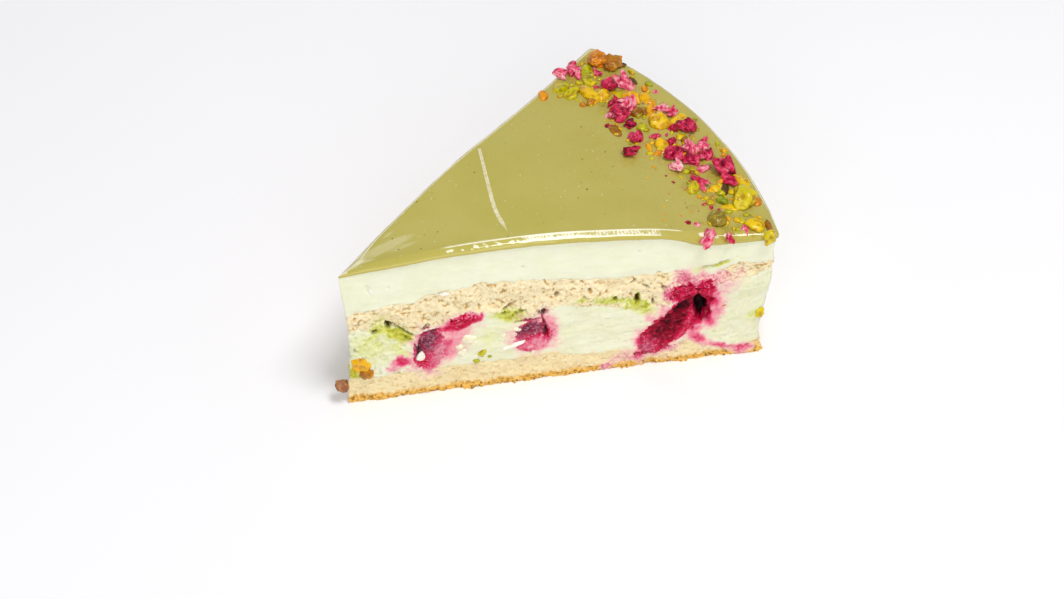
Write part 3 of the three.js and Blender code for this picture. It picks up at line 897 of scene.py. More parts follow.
@cache
def crumb_group() -> bpy.types.NodeTree:
    """Builds the group for baked crumb.

    Returns:
        A group that takes the pale, tan and dark colours, the relief and how strongly it is toasted,
        and gives the colour and the fine height of the crumb. Low relief is painted tan and the deepest
        hollows dark, as painted shade in the crumb's pores.
    """
    sheet, source, target = new_group(
        "baked crumb", {"Pale": "Color", "Tan": "Color", "Dark": "Color", "Relief": "Float",
                        "Toast": "Float"}, {"Color": "Color", "Height": "Float"})
    fine = sheet.clouds(0.75, 4.0, 0.68)
    other = sheet.clouds(0.6, 3.0, 0.6, sheet.mapped(Location=(0.3, 0.2, 0.1)))
    hollow = sheet.less(1.0, source["Relief"])
    rough = sheet.plus(0.35, sheet.times(sheet.between(sheet.clouds(15.0, 2.0), 0.38, 0.58), 0.75))
    patches = sheet.times(sheet.between(sheet.clouds(4.0), 0.42, 0.62), rough)
    specks = sheet.times(sheet.between(fine, 0.54, 0.66), sheet.plus(0.2, sheet.times(patches, 0.65)))
    # Painted shade: low relief, the crumb's pores and hollows, turns tan.
    pits = sheet.times(sheet.between(hollow, 0.62, 0.92), 0.6)
    toast = sheet.plus(sheet.plus(specks, pits), sheet.times(patches, 0.16), clamp=True)
    body = sheet.blend(sheet.times(toast, source["Toast"], clamp=True), source["Pale"], source["Tan"])
    flecks = sheet.times(sheet.between(other, 0.63, 0.73), sheet.times(source["Toast"], patches), clamp=True)
    # Painted shade: the deepest hollows take the dark colour, along with the real toasted flecks.
    deep = sheet.most(sheet.between(hollow, 0.84, 1.05), sheet.times(flecks, 0.7))
    sheet.feed(target, Color=sheet.blend(sheet.times(deep, 0.6), body, source["Dark"]),
               Height=sheet.less(fine, sheet.times(flecks, 0.5)))
    return sheet.tree


@cache
def soak_group() -> bpy.types.NodeTree:
    """Builds the group for what has soaked into a layer.

    Returns:
        A group that takes the layer's colour, its shares of juice, of moist green and of shade in deep
        holes, and how grainy their edges are, and gives the soaked colour and how wet it is.
    """
    sheet, source, target = new_group(
        "soaked", {"Color": "Color", "Juice": "Float", "Moss": "Float", "Pit": "Float", "Grain": "Float"},
        {"Color": "Color", "Wet": "Float"})
    wander = sheet.times(sheet.less(sheet.clouds(0.8, 5.0, 0.75), 0.5), source["Grain"])
    near_moss = sheet.between(source["Moss"], 0.0, 0.4)
    moss = sheet.plus(source["Moss"], sheet.times(wander, near_moss))
    green = sheet.ramp(moss, ((0.0, (232, 235, 190)), (0.34, (220, 224, 142)), (0.66, (202, 201, 78)),
                              (0.86, (164, 162, 40)), (1.0, (112, 112, 22))))
    moist = sheet.blend(sheet.between(moss, 0.05, 0.5), source["Color"], green)
    near_juice = sheet.between(source["Juice"], 0.0, 0.25)
    juice = sheet.plus(source["Juice"], sheet.times(wander, near_juice))
    red = sheet.ramp(juice, ((0.06, (241, 220, 204)), (0.22, (240, 190, 186)), (0.4, (232, 134, 154)),
                             (0.54, (216, 58, 104)), (0.68, (204, 14, 68)), (0.82, (164, 0, 44)),
                             (0.92, (112, 0, 28)), (1.0, (48, 0, 12))))
    stained = sheet.blend(sheet.between(juice, 0.04, 0.3), moist, red)
    middling = sheet.times(sheet.between(juice, 0.25, 0.5), sheet.between(juice, 0.92, 0.74))
    glints = sheet.times(sheet.between(sheet.clouds(0.9, 3.0, 0.6), 0.56, 0.64),
                         sheet.times(middling, source["Grain"]), clamp=True)
    stained = sheet.blend(sheet.times(glints, 0.45), stained, (246, 176, 188))
    # Painted shade: the value for deep holes darkens them towards brown.
    sheet.feed(target, Color=sheet.blend(source["Pit"], stained, (90, 60, 22), "MULTIPLY"),
               Wet=sheet.most(sheet.between(juice, 0.3, 0.9), sheet.between(moss, 0.4, 1.1)))
    return sheet.tree


@dataclass
class Skin(Sheet):
    """The node tree of a material, with its Principled shader."""

    shader: bpy.types.Node

    def set(self, **inputs: object) -> None:
        """Sets inputs of the shader, named as in feed."""
        self.feed(self.shader, **inputs)

    def soften(self, weight: float, depth: float, radius: Colour) -> None:
        """Lets light scatter under the surface, to a depth in millimetres."""
        self.set(Subsurface_Weight=weight, Subsurface_Scale=depth * MILLIMETRE, Subsurface_Radius=radius)

    def raise_bumps(self, height: object, depth: float) -> None:
        """Lets a height raise fine bumps of a depth in millimetres."""
        bump = self.add("Bump", Height=height, Distance=depth * MILLIMETRE, Strength=1.0)
        self.set(Normal=bump.outputs["Normal"])

    def soak(self, colour: Socket, grain: float) -> Socket:
        """Soaks a layer's colour.

        Args:
            colour: Its dry colour.
            grain: How grainy the edges of the stains are.

        Returns:
            How wet it is.
        """
        soaked = self.add("Group", {"node_tree": soak_group()}, Color=colour, Juice=self.read("juice"),
                          Moss=self.read("moss"), Pit=self.read("pit"), Grain=grain)
        self.set(Base_Color=soaked.outputs["Color"])
        return soaked.outputs["Wet"]


@dataclass(frozen=True)
class Finish:
    """The look of a surface."""

    name: str

    def dress(self, skin: Skin) -> None:
        """Adds the nodes that feed the shader."""
        raise NotImplementedError

    def material(self) -> bpy.types.Material:
        """Builds the material."""
        material = bpy.data.materials.new(self.name)
        material.use_nodes = True
        self.dress(Skin(material.node_tree, material.node_tree.nodes["Principled BSDF"]))
        return material


@dataclass(frozen=True)
class CrumbFinish(Finish):
    """Baked sponge, soaked in places, with a browned crust."""

    pale: Colour
    tan: Colour
    # Colour of the toasted flecks and of the painted shade in the deepest hollows.
    dark: Colour
    toast: float
    grain: float
    bump: float
    crust: Colour = (241, 192, 98)
    burnt: Colour = (118, 64, 14)

    def dress(self, skin: Skin) -> None:
        """Adds the crumb, the crust over it and what has soaked in."""
        crumb = skin.add("Group", {"node_tree": crumb_group()}, Pale=linear(self.pale), Tan=linear(self.tan),
                         Dark=linear(self.dark), Relief=skin.read("relief"), Toast=self.toast)
        wander = skin.less(skin.clouds(1.3, 5.0, 0.75), 0.5)
        brown = skin.plus(skin.read("brown"), skin.times(wander, 1.7))
        dots = skin.between(skin.clouds(1.1, 5.0, 0.75), 0.51, 0.58)
        burning = skin.most(skin.between(brown, 1.2, 1.9), skin.times(dots, skin.between(brown, 0.4, 1.0)))
        crust = skin.blend(skin.times(burning, 0.78), self.crust, self.burnt)
        wet = skin.soak(skin.blend(skin.between(brown, 0.2, 0.9), crumb.outputs["Color"], crust), self.grain)
        skin.set(Roughness=skin.less(0.85, skin.times(wet, 0.4)), Specular_IOR_Level=0.08)
        skin.soften(0.1, 1.0, (1.0, 0.7, 0.4))
        skin.raise_bumps(crumb.outputs["Height"], self.bump)


@dataclass(frozen=True)
class CreamFinish(Finish):
    """Set mousse, satin and soaked in places."""

    pale: Colour
    deep: Colour
    streak: Colour
    streakiness: float
    roughness: float
    bump: float
    crumb: Colour = (238, 216, 166)

    def dress(self, skin: Skin) -> None:
        """Adds soft clouds, streaks along the cut, crumbs, painted shade in its pits and what has soaked in.
        """
        smear = skin.mapped(Scale=(0.35, 0.35, 1.0))
        streaks = skin.between(skin.clouds(2.6, 5.0, 0.65, smear), 0.5, 0.7)
        body = skin.blend(skin.between(skin.clouds(9.0), 0.35, 0.68), self.pale, self.deep)
        body = skin.blend(skin.times(streaks, self.streakiness), body, self.streak)
        crumbs = skin.plus(skin.read("brown"), skin.less(skin.clouds(0.9, 4.0, 0.7), 0.5))
        body = skin.blend(skin.between(crumbs, 0.34, 0.56), body, self.crumb)
        # Painted shade: low relief, the pits and opened bubbles, is darkened with the streak colour.
        pits = skin.between(skin.read("relief"), 0.42, 0.1)
        wet = skin.soak(skin.blend(skin.times(pits, 0.3), body, self.streak, "MULTIPLY"), 0.4)
        skin.set(Roughness=skin.less(self.roughness, skin.times(wet, 0.2)), Specular_IOR_Level=0.1)
        skin.soften(0.2, 1.6, (1.0, 0.8, 0.45))
        skin.raise_bumps(skin.plus(skin.clouds(0.6), skin.clouds(0.9, place=smear)), self.bump)


@dataclass(frozen=True)
class GlazeFinish(Finish):
    """Mirror glaze: smooth, olive, faintly clouded, with highlights painted pale along its edges (partly
    scuffs and thin glaze) and a painted reflection on its top.
    """

    name: str = "pistachio glaze"
    body: Colour = (190, 179, 93)
    cloud: Colour = (184, 173, 81)
    low: Colour = (186, 172, 84)
    # Pale of the painted highlights and scuffs.
    scuffed: Colour = (240, 235, 206)
    # Pale of the painted reflection on the glaze's top.
    film: Colour = (220, 211, 162)
    syrup: Colour = (158, 132, 34)
    roughness: float = 0.07

    def dress(self, skin: Skin) -> None:
        """Adds the glaze's clouds, its painted highlights and scuffs, its painted pale reflection and the
        syrup on it.
        """
        body = skin.blend(skin.between(skin.clouds(26.0), 0.35, 0.7), self.body, self.cloud)
        body = skin.blend(skin.between(skin.read("edge"), 0.0, 1.0), body, self.low)
        wander = skin.less(skin.clouds(0.7, 4.0, 0.7), 0.5)
        # Painted highlight: pale marks along the glaze's edges, partly scuffs.
        scuff = skin.read("scuff")
        lit_and_worn = skin.plus(scuff, skin.times(wander, skin.between(scuff, 0.0, 0.2)))
        marks = skin.between(lit_and_worn, 0.2, 0.7)
        body = skin.blend(marks, body, self.scuffed)
        # Painted reflection: pale patches on the top near the tip.
        body = skin.blend(skin.read("film"), body, self.film)
        syrup = skin.times(skin.read("syrup"), skin.between(wander, -0.2, 0.1))
        skin.set(Base_Color=skin.blend(syrup, body, self.syrup),
                 Roughness=skin.plus(self.roughness, skin.times(marks, 0.25)))
        skin.soften(0.12, 1.2, (1.0, 0.9, 0.35))
        skin.raise_bumps(skin.clouds(8.0, 2.0), 0.05)


@dataclass(frozen=True)
class FleshFinish(Finish):
    """Cut raspberry: wet, from pink to near black, filmed over with mousse in places."""

    name: str = "raspberry flesh"
    flesh: Colour = (178, 16, 58)
    film: Colour = (104, 50, 74)
    film_pale: Colour = (180, 124, 142)
    frost: Colour = (242, 164, 182)
    # Near black of the painted shade in the hollow.
    hollow: Colour = (20, 0, 5)

    def dress(self, skin: Skin) -> None:
        """Adds juicy flesh with painted shade in its creases, a film and fine crystals on it, and painted
        shade in its hollow.
        """
        grain = skin.clouds(0.9, 5.0, 0.75)
        # Painted shade: low relief, the creases between drupelets, reads as darker juice.
        creased = skin.times(skin.less(0.5, skin.read("relief")), 0.16)
        soaked = skin.add("Group", {"node_tree": soak_group()}, Color=linear(self.flesh), Moss=0.0, Pit=0.0,
                          Juice=skin.plus(skin.read("juice"), creased), Grain=0.42)
        film = skin.blend(skin.between(grain, 0.42, 0.66), self.film, self.film_pale)
        covering = skin.times(skin.read("film"), skin.between(grain, 0.3, 0.56))
        filmed = skin.blend(covering, soaked.outputs["Color"], film)
        crystals = skin.between(skin.clouds(0.6, 3.0, 0.6), 0.56, 0.66)
        frosting = skin.times(crystals, skin.between(skin.read("juice"), 0.76, 0.58))
        frosted = skin.blend(skin.times(frosting, 0.85), filmed, self.frost)
        # Painted shade: the hollow is coloured near black.
        skin.set(Base_Color=skin.blend(skin.between(skin.read("hollow"), 0.06, 0.7), frosted, self.hollow),
                 Roughness=skin.plus(0.3, skin.times(covering, 0.3)), Specular_IOR_Level=0.08)
        skin.soften(0.05, 0.8, (1.0, 0.25, 0.3))
        skin.raise_bumps(grain, 0.25)


@dataclass(frozen=True)
class ShardFinish(Finish):
    """Dried raspberry, from crimson to pale pink by its own tone, darker in its creases as painted shade and
    paler on its ridges as a painted highlight.
    """

    name: str = "dried raspberry"

    def dress(self, skin: Skin) -> None:
        """Adds the tones, with painted shade in the creases and a painted highlight on the ridges."""
        grain = skin.clouds(0.9, 4.0, 0.7)
        tone = skin.read("tone")
        # Painted shade and highlight: the relief darkens the creases and lightens the ridges.
        for value, share in ((grain, 0.4), (skin.clouds(2.4, 2.0), 0.8), (skin.read("relief"), 1.15)):
            tone = skin.plus(tone, skin.times(skin.less(value, 0.5), share))
        skin.set(Base_Color=skin.ramp(tone, (
            (0.0, (100, 4, 34)), (0.18, (154, 8, 50)), (0.36, (196, 22, 70)), (0.56, (222, 72, 108)),
            (0.76, (238, 136, 154)), (1.0, (250, 200, 198)))), Roughness=0.42, Specular_IOR_Level=0.22)
        skin.soften(0.1, 0.8, (1.0, 0.3, 0.4))
        skin.raise_bumps(grain, 0.2)


@dataclass(frozen=True)
class NutFinish(Finish):
    """Candied pistachio: from brown and amber through yellow to green, under a clear gloss."""

    name: str = "candied pistachio"
    skin_brown: Colour = (176, 108, 26)
    bright: Colour = (250, 230, 110)

    def dress(self, skin: Skin) -> None:
        """Adds the nut's tones, its brown skin, painted shade in its creases and a painted highlight on its
        ridges.
        """
        grain = skin.clouds(1.8, 5.0, 0.65)
        tone = skin.plus(skin.read("tone"), skin.times(skin.less(grain, 0.5), 0.32))
        body = skin.ramp(tone, ((0.0, (84, 62, 12)), (0.14, (142, 96, 8)), (0.32, (226, 138, 0)),
                                (0.48, (236, 174, 0)), (0.62, (230, 198, 0)), (0.76, (194, 186, 2)),
                                (0.88, (146, 156, 8)), (1.0, (100, 128, 10))))
        relief = skin.read("relief")
        patches = skin.between(skin.clouds(3.4, 3.0, 0.6), 0.54, 0.66)
        # Painted shade: low relief, the creases, is browned, along with real patches of brown skin.
        brown = skin.most(skin.times(skin.between(relief, 0.56, 0.08), 0.62), skin.times(patches, 0.5))
        shaded = skin.blend(brown, body, self.skin_brown, "MULTIPLY")
        # Painted highlight: the highest ridges are lightened.
        lit = skin.blend(skin.times(skin.between(relief, 0.7, 0.95), 0.16), shaded, self.bright)
        skin.set(Base_Color=lit, Roughness=0.26, Specular_IOR_Level=0.25, Coat_Weight=0.3,
                 Coat_Roughness=0.08)
        skin.soften(0.12, 1.2, (1.0, 0.7, 0.15))
        skin.raise_bumps(grain, 0.2)


@dataclass(frozen=True)
class PlainFinish(Finish):
    """One colour with a lighter clouding."""

    body: Colour
    cloud: Colour
    roughness: float
    specular: float = 0.4

    def dress(self, skin: Skin) -> None:
        """Adds the clouding."""
        grain = skin.between(skin.clouds(1.2), 0.4, 0.62)
        skin.set(Base_Color=skin.blend(grain, self.body, self.cloud), Roughness=self.roughness,
                 Specular_IOR_Level=self.specular)
        skin.raise_bumps(grain, 0.06)


@dataclass(frozen=True)
class FloorFinish(Finish):
    """Pale, barely clouded board."""

    name: str = "pale floor"
    pale: Colour = (251, 250, 252)
    shaded: Colour = (247, 246, 249)

    def dress(self, skin: Skin) -> None:
        """Adds the faint clouding."""
        skin.set(Base_Color=skin.blend(skin.clouds(160.0, 2.0), self.pale, self.shaded), Roughness=0.7)


# Layers


@dataclass
class Layer:
    """One layer of the slice: a closed shell whose wall carries the relief of the cut."""

    form: SliceForm
    faces: CutFaces
    name: str
    node: str
    lower: Field
    upper: Field
    rows: int
    look: Finish
    lap: float = 0.5
    lap_inset: float = 1.5
    crag_size: float = 5.5
    relief_range: float = 1.2
    soaked_low: float = 1.3
    soaked_high: float = 0.7
    low_rings: tuple[float, ...] = LID_RINGS
    high_rings: tuple[float, ...] = LID_RINGS
    columns: Columns = field(default_factory=lambda: Columns.spaced(440, 200, 240, 10))

    def relief(self, points: Points) -> Values:
        """Gives the height of the layer's own grain on its wall at points, in millimetres."""
        raise NotImplementedError

    def brown(self, points: Points) -> Values:
        """Says how browned the layer is at points."""
        return np.zeros(len(points))

    def edge(self) -> Points:
        """Gives the x and y of the columns at the middle height of the slice."""
        level = np.full((1, len(self.columns.shares)), self.form.middle_height)
        return self.form.outline(self.columns, level)[0]

    def moved_out(self, flat: Points, out: Points, shift: Values) -> Points:
        """Moves points of the wall along their columns' directions, each by its shift."""
        step = (out * shift.reshape(-1, len(self.columns.shares), 1)).reshape(-1, 2)
        return flat + np.pad(step, ((0, 0), (0, 1)))

    def wall(self) -> tuple[Points, dict[str, Values]]:
        """Draws the wall.

        Returns:
            Its points, in rows from the lowest up, and the values named on them.
        """
        form, columns, near = self.form, self.columns, self.edge()
        levels = np.linspace(0, 1, self.rows)[:, None]
        lower, upper = self.lower(near), self.upper(near)
        heights = mix(lower - self.lap, upper + self.lap, levels)
        places, out = form.outline(columns, heights)
        flat = np.concatenate([places, heights[..., None]], axis=-1).reshape(-1, 3)
        crags = form.wall_relief.at(flat[:, 2]) * bumps(flat, self.crag_size, 1, 1)
        grain, holes = self.relief(flat), self.faces.holes(flat)
        cut_in = holes + self.faces.beds(flat)
        beyond = np.maximum(lower - heights, heights - upper).clip(0).ravel()
        rounding = np.broadcast_to(form.rounding(columns), heights.shape).ravel()
        shift = crags + grain - cut_in - self.lap_inset * beyond - rounding
        relief = np.clip(0.5 + grain / self.relief_range, 0, 1)
        soaking = mix(self.soaked_low, self.soaked_high, relief)
        # The value for holes is painted shade that darkens deep holes and cracks.
        return self.moved_out(flat, out, shift), {
            "relief": relief, "juice": self.faces.juice(flat) * soaking,
            "moss": self.faces.moss(flat) * soaking, "brown": self.brown(flat),
            "pit": rise(holes, 0.3, 1.5)}

    def lid(self, ring: Points, shares: Sequence[float], surface: Field) -> list[Points]:
        """Draws smaller and smaller rings from a wall's edge to the middle, each a share of its size."""
        rings = [mix(self.form.middle, ring[:, :2], share) for share in shares]
        return [np.column_stack([places, surface(places)]) for places in rings]

    def lid_fields(self, points: Points) -> dict[str, Values]:
        """Gives named values that also vary on the lids."""
        return {}

    def draft(self) -> Draft:
        """Draws the whole shell: from the middle of the underside, up the wall, to the middle of the top."""
        wall, fields = self.wall()
        count = len(self.columns.shares)
        surfaces = (lambda places: self.lower(places) - self.lap,
                    lambda places: self.upper(places) + self.lap)
        low = np.concatenate(self.lid(wall[:count], self.low_rings, surfaces[0])[::-1])
        high = np.concatenate(self.lid(wall[-count:], self.high_rings, surfaces[1]))
        middle = self.form.middle[None]
        ends = np.concatenate([np.column_stack([middle, surface(middle)]) for surface in surfaces])
        lids = np.concatenate([low, high, ends])
        varied = self.lid_fields(lids)
        for name, values in fields.items():
            even = np.full(len(lids), 0.5 if name == "relief" else 0.0)
            below, above = np.split(varied.get(name, even), [len(low)])
            fields[name] = np.concatenate([below, values, above])
        rings = len(self.low_rings) + self.rows + len(self.high_rings)
        return Draft(np.concatenate([low, wall, high, ends]), tube_faces(rings, count), fields)

    def build(self) -> bpy.types.Object:
        """Makes the piece and lets it stand for its node."""
        return placed_piece(self.form, self.name, self.draft(), self.look.material(), self.node)


@dataclass
class Sponge(Layer):
    """A sponge layer with torn crumb."""

    look: Finish = CrumbFinish(
        "torn sponge", (249, 234, 194), (219, 176, 96), (158, 110, 46), 0.95, 1.15, 0.25)
    coarse: float = 0.36
    fine: float = 0.28
    pores: float = 0.5
    soaked_low: float = 1.15
    soaked_high: float = 0.45
    relief_size: float = 1.15
    tear_size: float = 2.6
    pore_size: float = 1.1

    def relief(self, points: Points) -> Values:
        """Gives the height of torn crumb: lumps, grains on them, and pores between."""
        lumps, owners = grains(points, self.relief_size, 1)
        small, _ = grains(points, 0.6 * self.relief_size, 2)
        tears = bumps(points, self.tear_size, 4, 3)
        pores = rise(bumps(points, self.pore_size, 3, 8), 0.26, 0.56)
        lift = self.coarse * (0.8 * lumps * (0.3 + owners) - 0.15) + self.fine * (0.8 * small - 0.2)
        return lift + 0.6 * self.coarse * tears - self.pores * pores

    def brown(self, points: Points) -> Values:
        """Says where the sponge is browned: at its end on the rim."""
        end = rise(from_axis(points), self.form.radius - 2.5, self.form.radius)
        return 0.55 * end * rise(points[:, 2], 33.5, 35.5)


@dataclass
class BaseSponge(Sponge):
    """The lowest layer: fine crumb over a browned crust."""

    look: Finish = CrumbFinish(
        "base sponge", (245, 227, 180), (222, 184, 116), (170, 124, 62), 0.9, 0.8, 0.35)
    coarse: float = 0.22
    fine: float = 0.24
    pores: float = 0.3
    relief_size: float = 1.1
    crust: float = 2.3
    knob_size: float = 1.3

    def relief(self, points: Points) -> Values:
        """Gives the height of fine crumb, and of a knobbly crust under it."""
        crumb = super().relief(points)
        knobs, owners = grains(points, self.knob_size, 4)
        low = rise(points[:, 2], self.crust + 1.4, 0.8)
        return crumb + low * (0.6 * knobs * (0.3 + owners) - 0.1)

    def brown(self, points: Points) -> Values:
        """Says where the crust is: along the underside and over the end on the rim."""
        edge = self.crust + 0.8 * bumps(points * DRAWN_UP, 4.5, 3, 6)
        low = rise(points[:, 2], edge + 1.9, edge - 1.5) + 0.15 * rise(points[:, 2], 1.2, 0.0)
        end = rise(from_axis(points), self.form.radius - 6.0, self.form.radius - 4.0)
        return np.maximum(low, 0.62 * end)


@dataclass
class Mousse(Layer):
    """A layer of set mousse with smears, fine pits and bubbles."""

    look: Finish = CreamFinish(
        "lower mousse", (233, 233, 206), (230, 230, 196), (222, 224, 164), 0.34, 0.5, 0.1)
    relief_range: float = 0.9
    smears: float = 0.2
    smear_size: float = 2.2
    fine: float = 0.14
    fine_size: float = 1.1
    bubbles: float = 0.25
    bubble_depth: float = 0.4
    bubble_size: float = 2.8
    torn_ends: float = 1.0
    crumbs: float = 0.62

    def relief(self, points: Points) -> Values:
        """Gives the height of smears drawn along the cut, and of bubbles opened by it."""
        ends = self.torn_ends * self.faces.ends(points)
        drawn = bumps(points * np.array([0.3, 0.3, 1.0]), self.smear_size, 3, 2)
        smears = self.smears * (1 - 0.7 * np.minimum(ends, 1)) * drawn
        fine = self.fine * bumps(points, self.fine_size, 3, 4)
        domes, owners = grains(points, self.bubble_size, 6)
        bubbles = (owners < self.bubbles) * rise(domes, 0.45, 0.95)
        tears = bumps(points * np.array([1.0, 1.0, 0.55]), 2.0, 4, 23)
        torn_out = ends * (0.24 * tears - 0.3 * rise(bumps(points, 1.3, 3, 25), 0.2, 0.5))
        return smears + (1 + ends) * fine + torn_out - self.bubble_depth * bubbles

    def brown(self, points: Points) -> Values:
        """Says where crumbs of the sponge below lie in the mousse."""
        above = points[:, 2] - self.lower(points[:, :2])
        return self.crumbs * rise(above, 3.2, 0.0) * rise(bumps(points, 9.0, 2, 21), -0.5, 0.4)


# Patches on the top of the glaze where a reflection is painted pale
REFLECTION_PATCHES = (Oval(13.5, 6.6, 17, 4.4, 22, 0.5), Oval(4.6, 2.4, 9, 1.8, 27, 1.0),
                Oval(15, 11.6, 4, 1.2, 70, 0.5), Oval(18.4, 5.4, 8, 1.6, 14, 0.4))


@dataclass
class Glaze(Layer):
    """The mirror glaze: a skin with a rolled shoulder that hangs over the cut faces."""

    look: Finish = GlazeFinish()
    overhang: float = 0.8
    tip_overhang: float = 0.2
    shoulder: float = 1.9
    front_shoulder: float = 0.7
    back_shoulder: float = -0.4
    roll: float = 1.6
    roll_height: float = 1.25
    upright: float = 0.3
    lip: float = 0.5
    wave: float = 0.16
    wave_size: float = 7.0
    crease: float = 0.93
    crease_height: float = 0.14
    second_line: float = 0.42
    line_width: float = 0.05

    def relief(self, points: Points) -> Values:
        """Gives the wavy height of the glaze's edge."""
        return self.wave * bumps(points, self.wave_size, 2, 9)

    def wall(self) -> tuple[Points, dict[str, Values]]:
        """Draws the edge of the skin, from its hanging lip over its shoulder.

        Returns:
            Its points, in rows from the lowest up, and the values named on them.
        """
        form, columns, near = self.form, self.columns, self.edge()
        levels = np.linspace(0, 1, self.rows)[:, None]
        over = np.clip((levels - self.upright) / (1 - self.upright), 0, 1)
        under = np.clip(1 - 2 * levels / self.upright, 0, 1)
        middle = rise(columns.shares, 0.03, 0.16) * rise(columns.shares, 0.97, 0.84)
        shoulder = self.shoulder + middle * (self.front_shoulder * columns.on(Side.FRONT)
                                             + self.back_shoulder * columns.on(Side.BACK))
        overhang = self.overhang * mix(self.tip_overhang, 1.0, rise(from_axis(near), 2, 18))
        offset = overhang - shoulder * over ** self.roll - self.lip * (1 - np.sqrt(1 - under ** 2))
        below = self.upright * (levels / self.upright).clip(0, 1)
        height = mix(below, 1.0, 1 - (1 - over) ** self.roll_height)
        lower = self.lower(near)
        places, out = form.outline(columns, mix(lower, self.upper(near), height), offset)
        level = mix(lower, self.upper(places), height)
        flat = np.concatenate([places, level[..., None]], axis=-1).reshape(-1, 3)
        wave = self.relief(flat).reshape(level.shape) * rise(levels, 1.0, 0.7)
        points = self.moved_out(flat, out, wave - form.rounding(columns))
        ridge = peak(over, self.crease, 0.06) * self.creased(flat).reshape(level.shape)
        points[:, 2] += (self.crease_height * ridge).ravel()
        edge = np.broadcast_to(rise(levels, 0.8, 0.1), level.shape).ravel()
        # The scuff value marks where highlights are painted pale, partly scuffs.
        return points, {"edge": edge, "relief": np.full(len(flat), 0.5), "scuff": self.scuffs(flat, over),
                        **self.lid_fields(flat)}

    def lid_fields(self, points: Points) -> dict[str, Values]:
        """Says where a reflection is painted pale on the glaze's top and where syrup from the toppings has
        darkened the glaze.
        """
        radius = from_axis(points)
        strewn = rise(radius, 95, 102) * rise(radius, 118, 113)
        pools = 0.75 * strewn * rise(bumps(points * FLAT, 4.5, 4, 30), -0.05, 0.35)
        ragged = 0.3 * bumps(points * FLAT, 2.5, 4, 3)
        reflections = [patch.strength * rise(patch.out(points[:, 0], points[:, 1]) + ragged, 1.15, 0.6)
                 for patch in REFLECTION_PATCHES]
        return {"film": np.max(reflections, axis=0), "syrup": np.maximum(pools, 0.14 * rise(radius, 55, 92))}

    def creased(self, points: Points) -> Values:
        """Says how sharp the crease is along the shoulder of the front cut face."""
        return rise(points[:, 1], 6.0, 3.0) * rise(points[:, 0], 18, 34) * rise(points[:, 0], 97, 91)

    def scuffs(self, points: Points, over: Values) -> Values:
        """Says where highlights are painted pale, partly as scuffs: along the front shoulder's crease, in a
        hatched band and in dots, and in lines along the back edge, the tip and the rim.

        Args:
            points: Points of the wall.
            over: How far each row lies over the shoulder.

        Returns:
            Shares from 0 to 1.
        """
        along, into, radius = points[:, 0], points[:, 1], from_axis(points)
        level = np.broadcast_to(over, (over.shape[0], len(self.columns.shares))).ravel()
        drawn = np.column_stack([along, 3 * level, 0 * level])
        hatch = 0.5 + 0.5 * np.sin(6.6 * along + 5 * level + 3 * bumps(drawn, 2.4, 3, 12))
        hatch *= rise(bumps(drawn, 1.4, 3, 16), -0.5, 0.2)
        between = rise(level, 0.34, 0.44) * rise(level, 0.98, 0.9) * (0.34 + 0.42 * hatch)
        band = 0.85 * peak(level, self.second_line, self.line_width) + between
        drips = 0.9 * rise(bumps(points, 2.2, 2, 15), 0.1, 0.4) * peak(level, 0.7, 0.22)
        front = np.max([
            rise(along, 26, 31) * rise(along, 95, 92) * peak(level, self.crease, self.line_width),
            rise(along, 47, 52) * rise(along, 89, 86) * band,
            rise(along, 28, 31) * rise(along, 52, 48) * rise(bumps(drawn, 1.3, 2, 14), 0.12, 0.36)
            * peak(level, 0.6, 0.2),
            rise(along, 96, 99) * rise(along, 113, 108) * drips,
        ], axis=0)
        on_front = rise(into, 6.0, 3.5)
        on_back = rise(self.form.depth_from_back(points), 3.0, 1.5) * (1 - on_front)
        back = 0.8 * on_back * (peak(level, 0.95, self.line_width) + peak(level, 0.62, 0.1))
        tip = np.maximum(0.4 * rise(radius, 9, 6) * rise(level, 0.5, 0.9),
                         0.8 * rise(radius, 4, 1.5) * rise(level, 0.1, 0.5))
        rim = 0.7 * rise(into, 6, 14) * rise(into, 56, 36) * rise(radius, 115, 118) * peak(level, 0.6, 0.12)
        return np.clip(np.max([front * on_front, back, tip, rim], axis=0), 0, 1)


def flat_floor(places: Points) -> Values:
    """Gives the height of the floor at places."""
    return np.zeros(places.shape[:-1])


# Opened raspberries


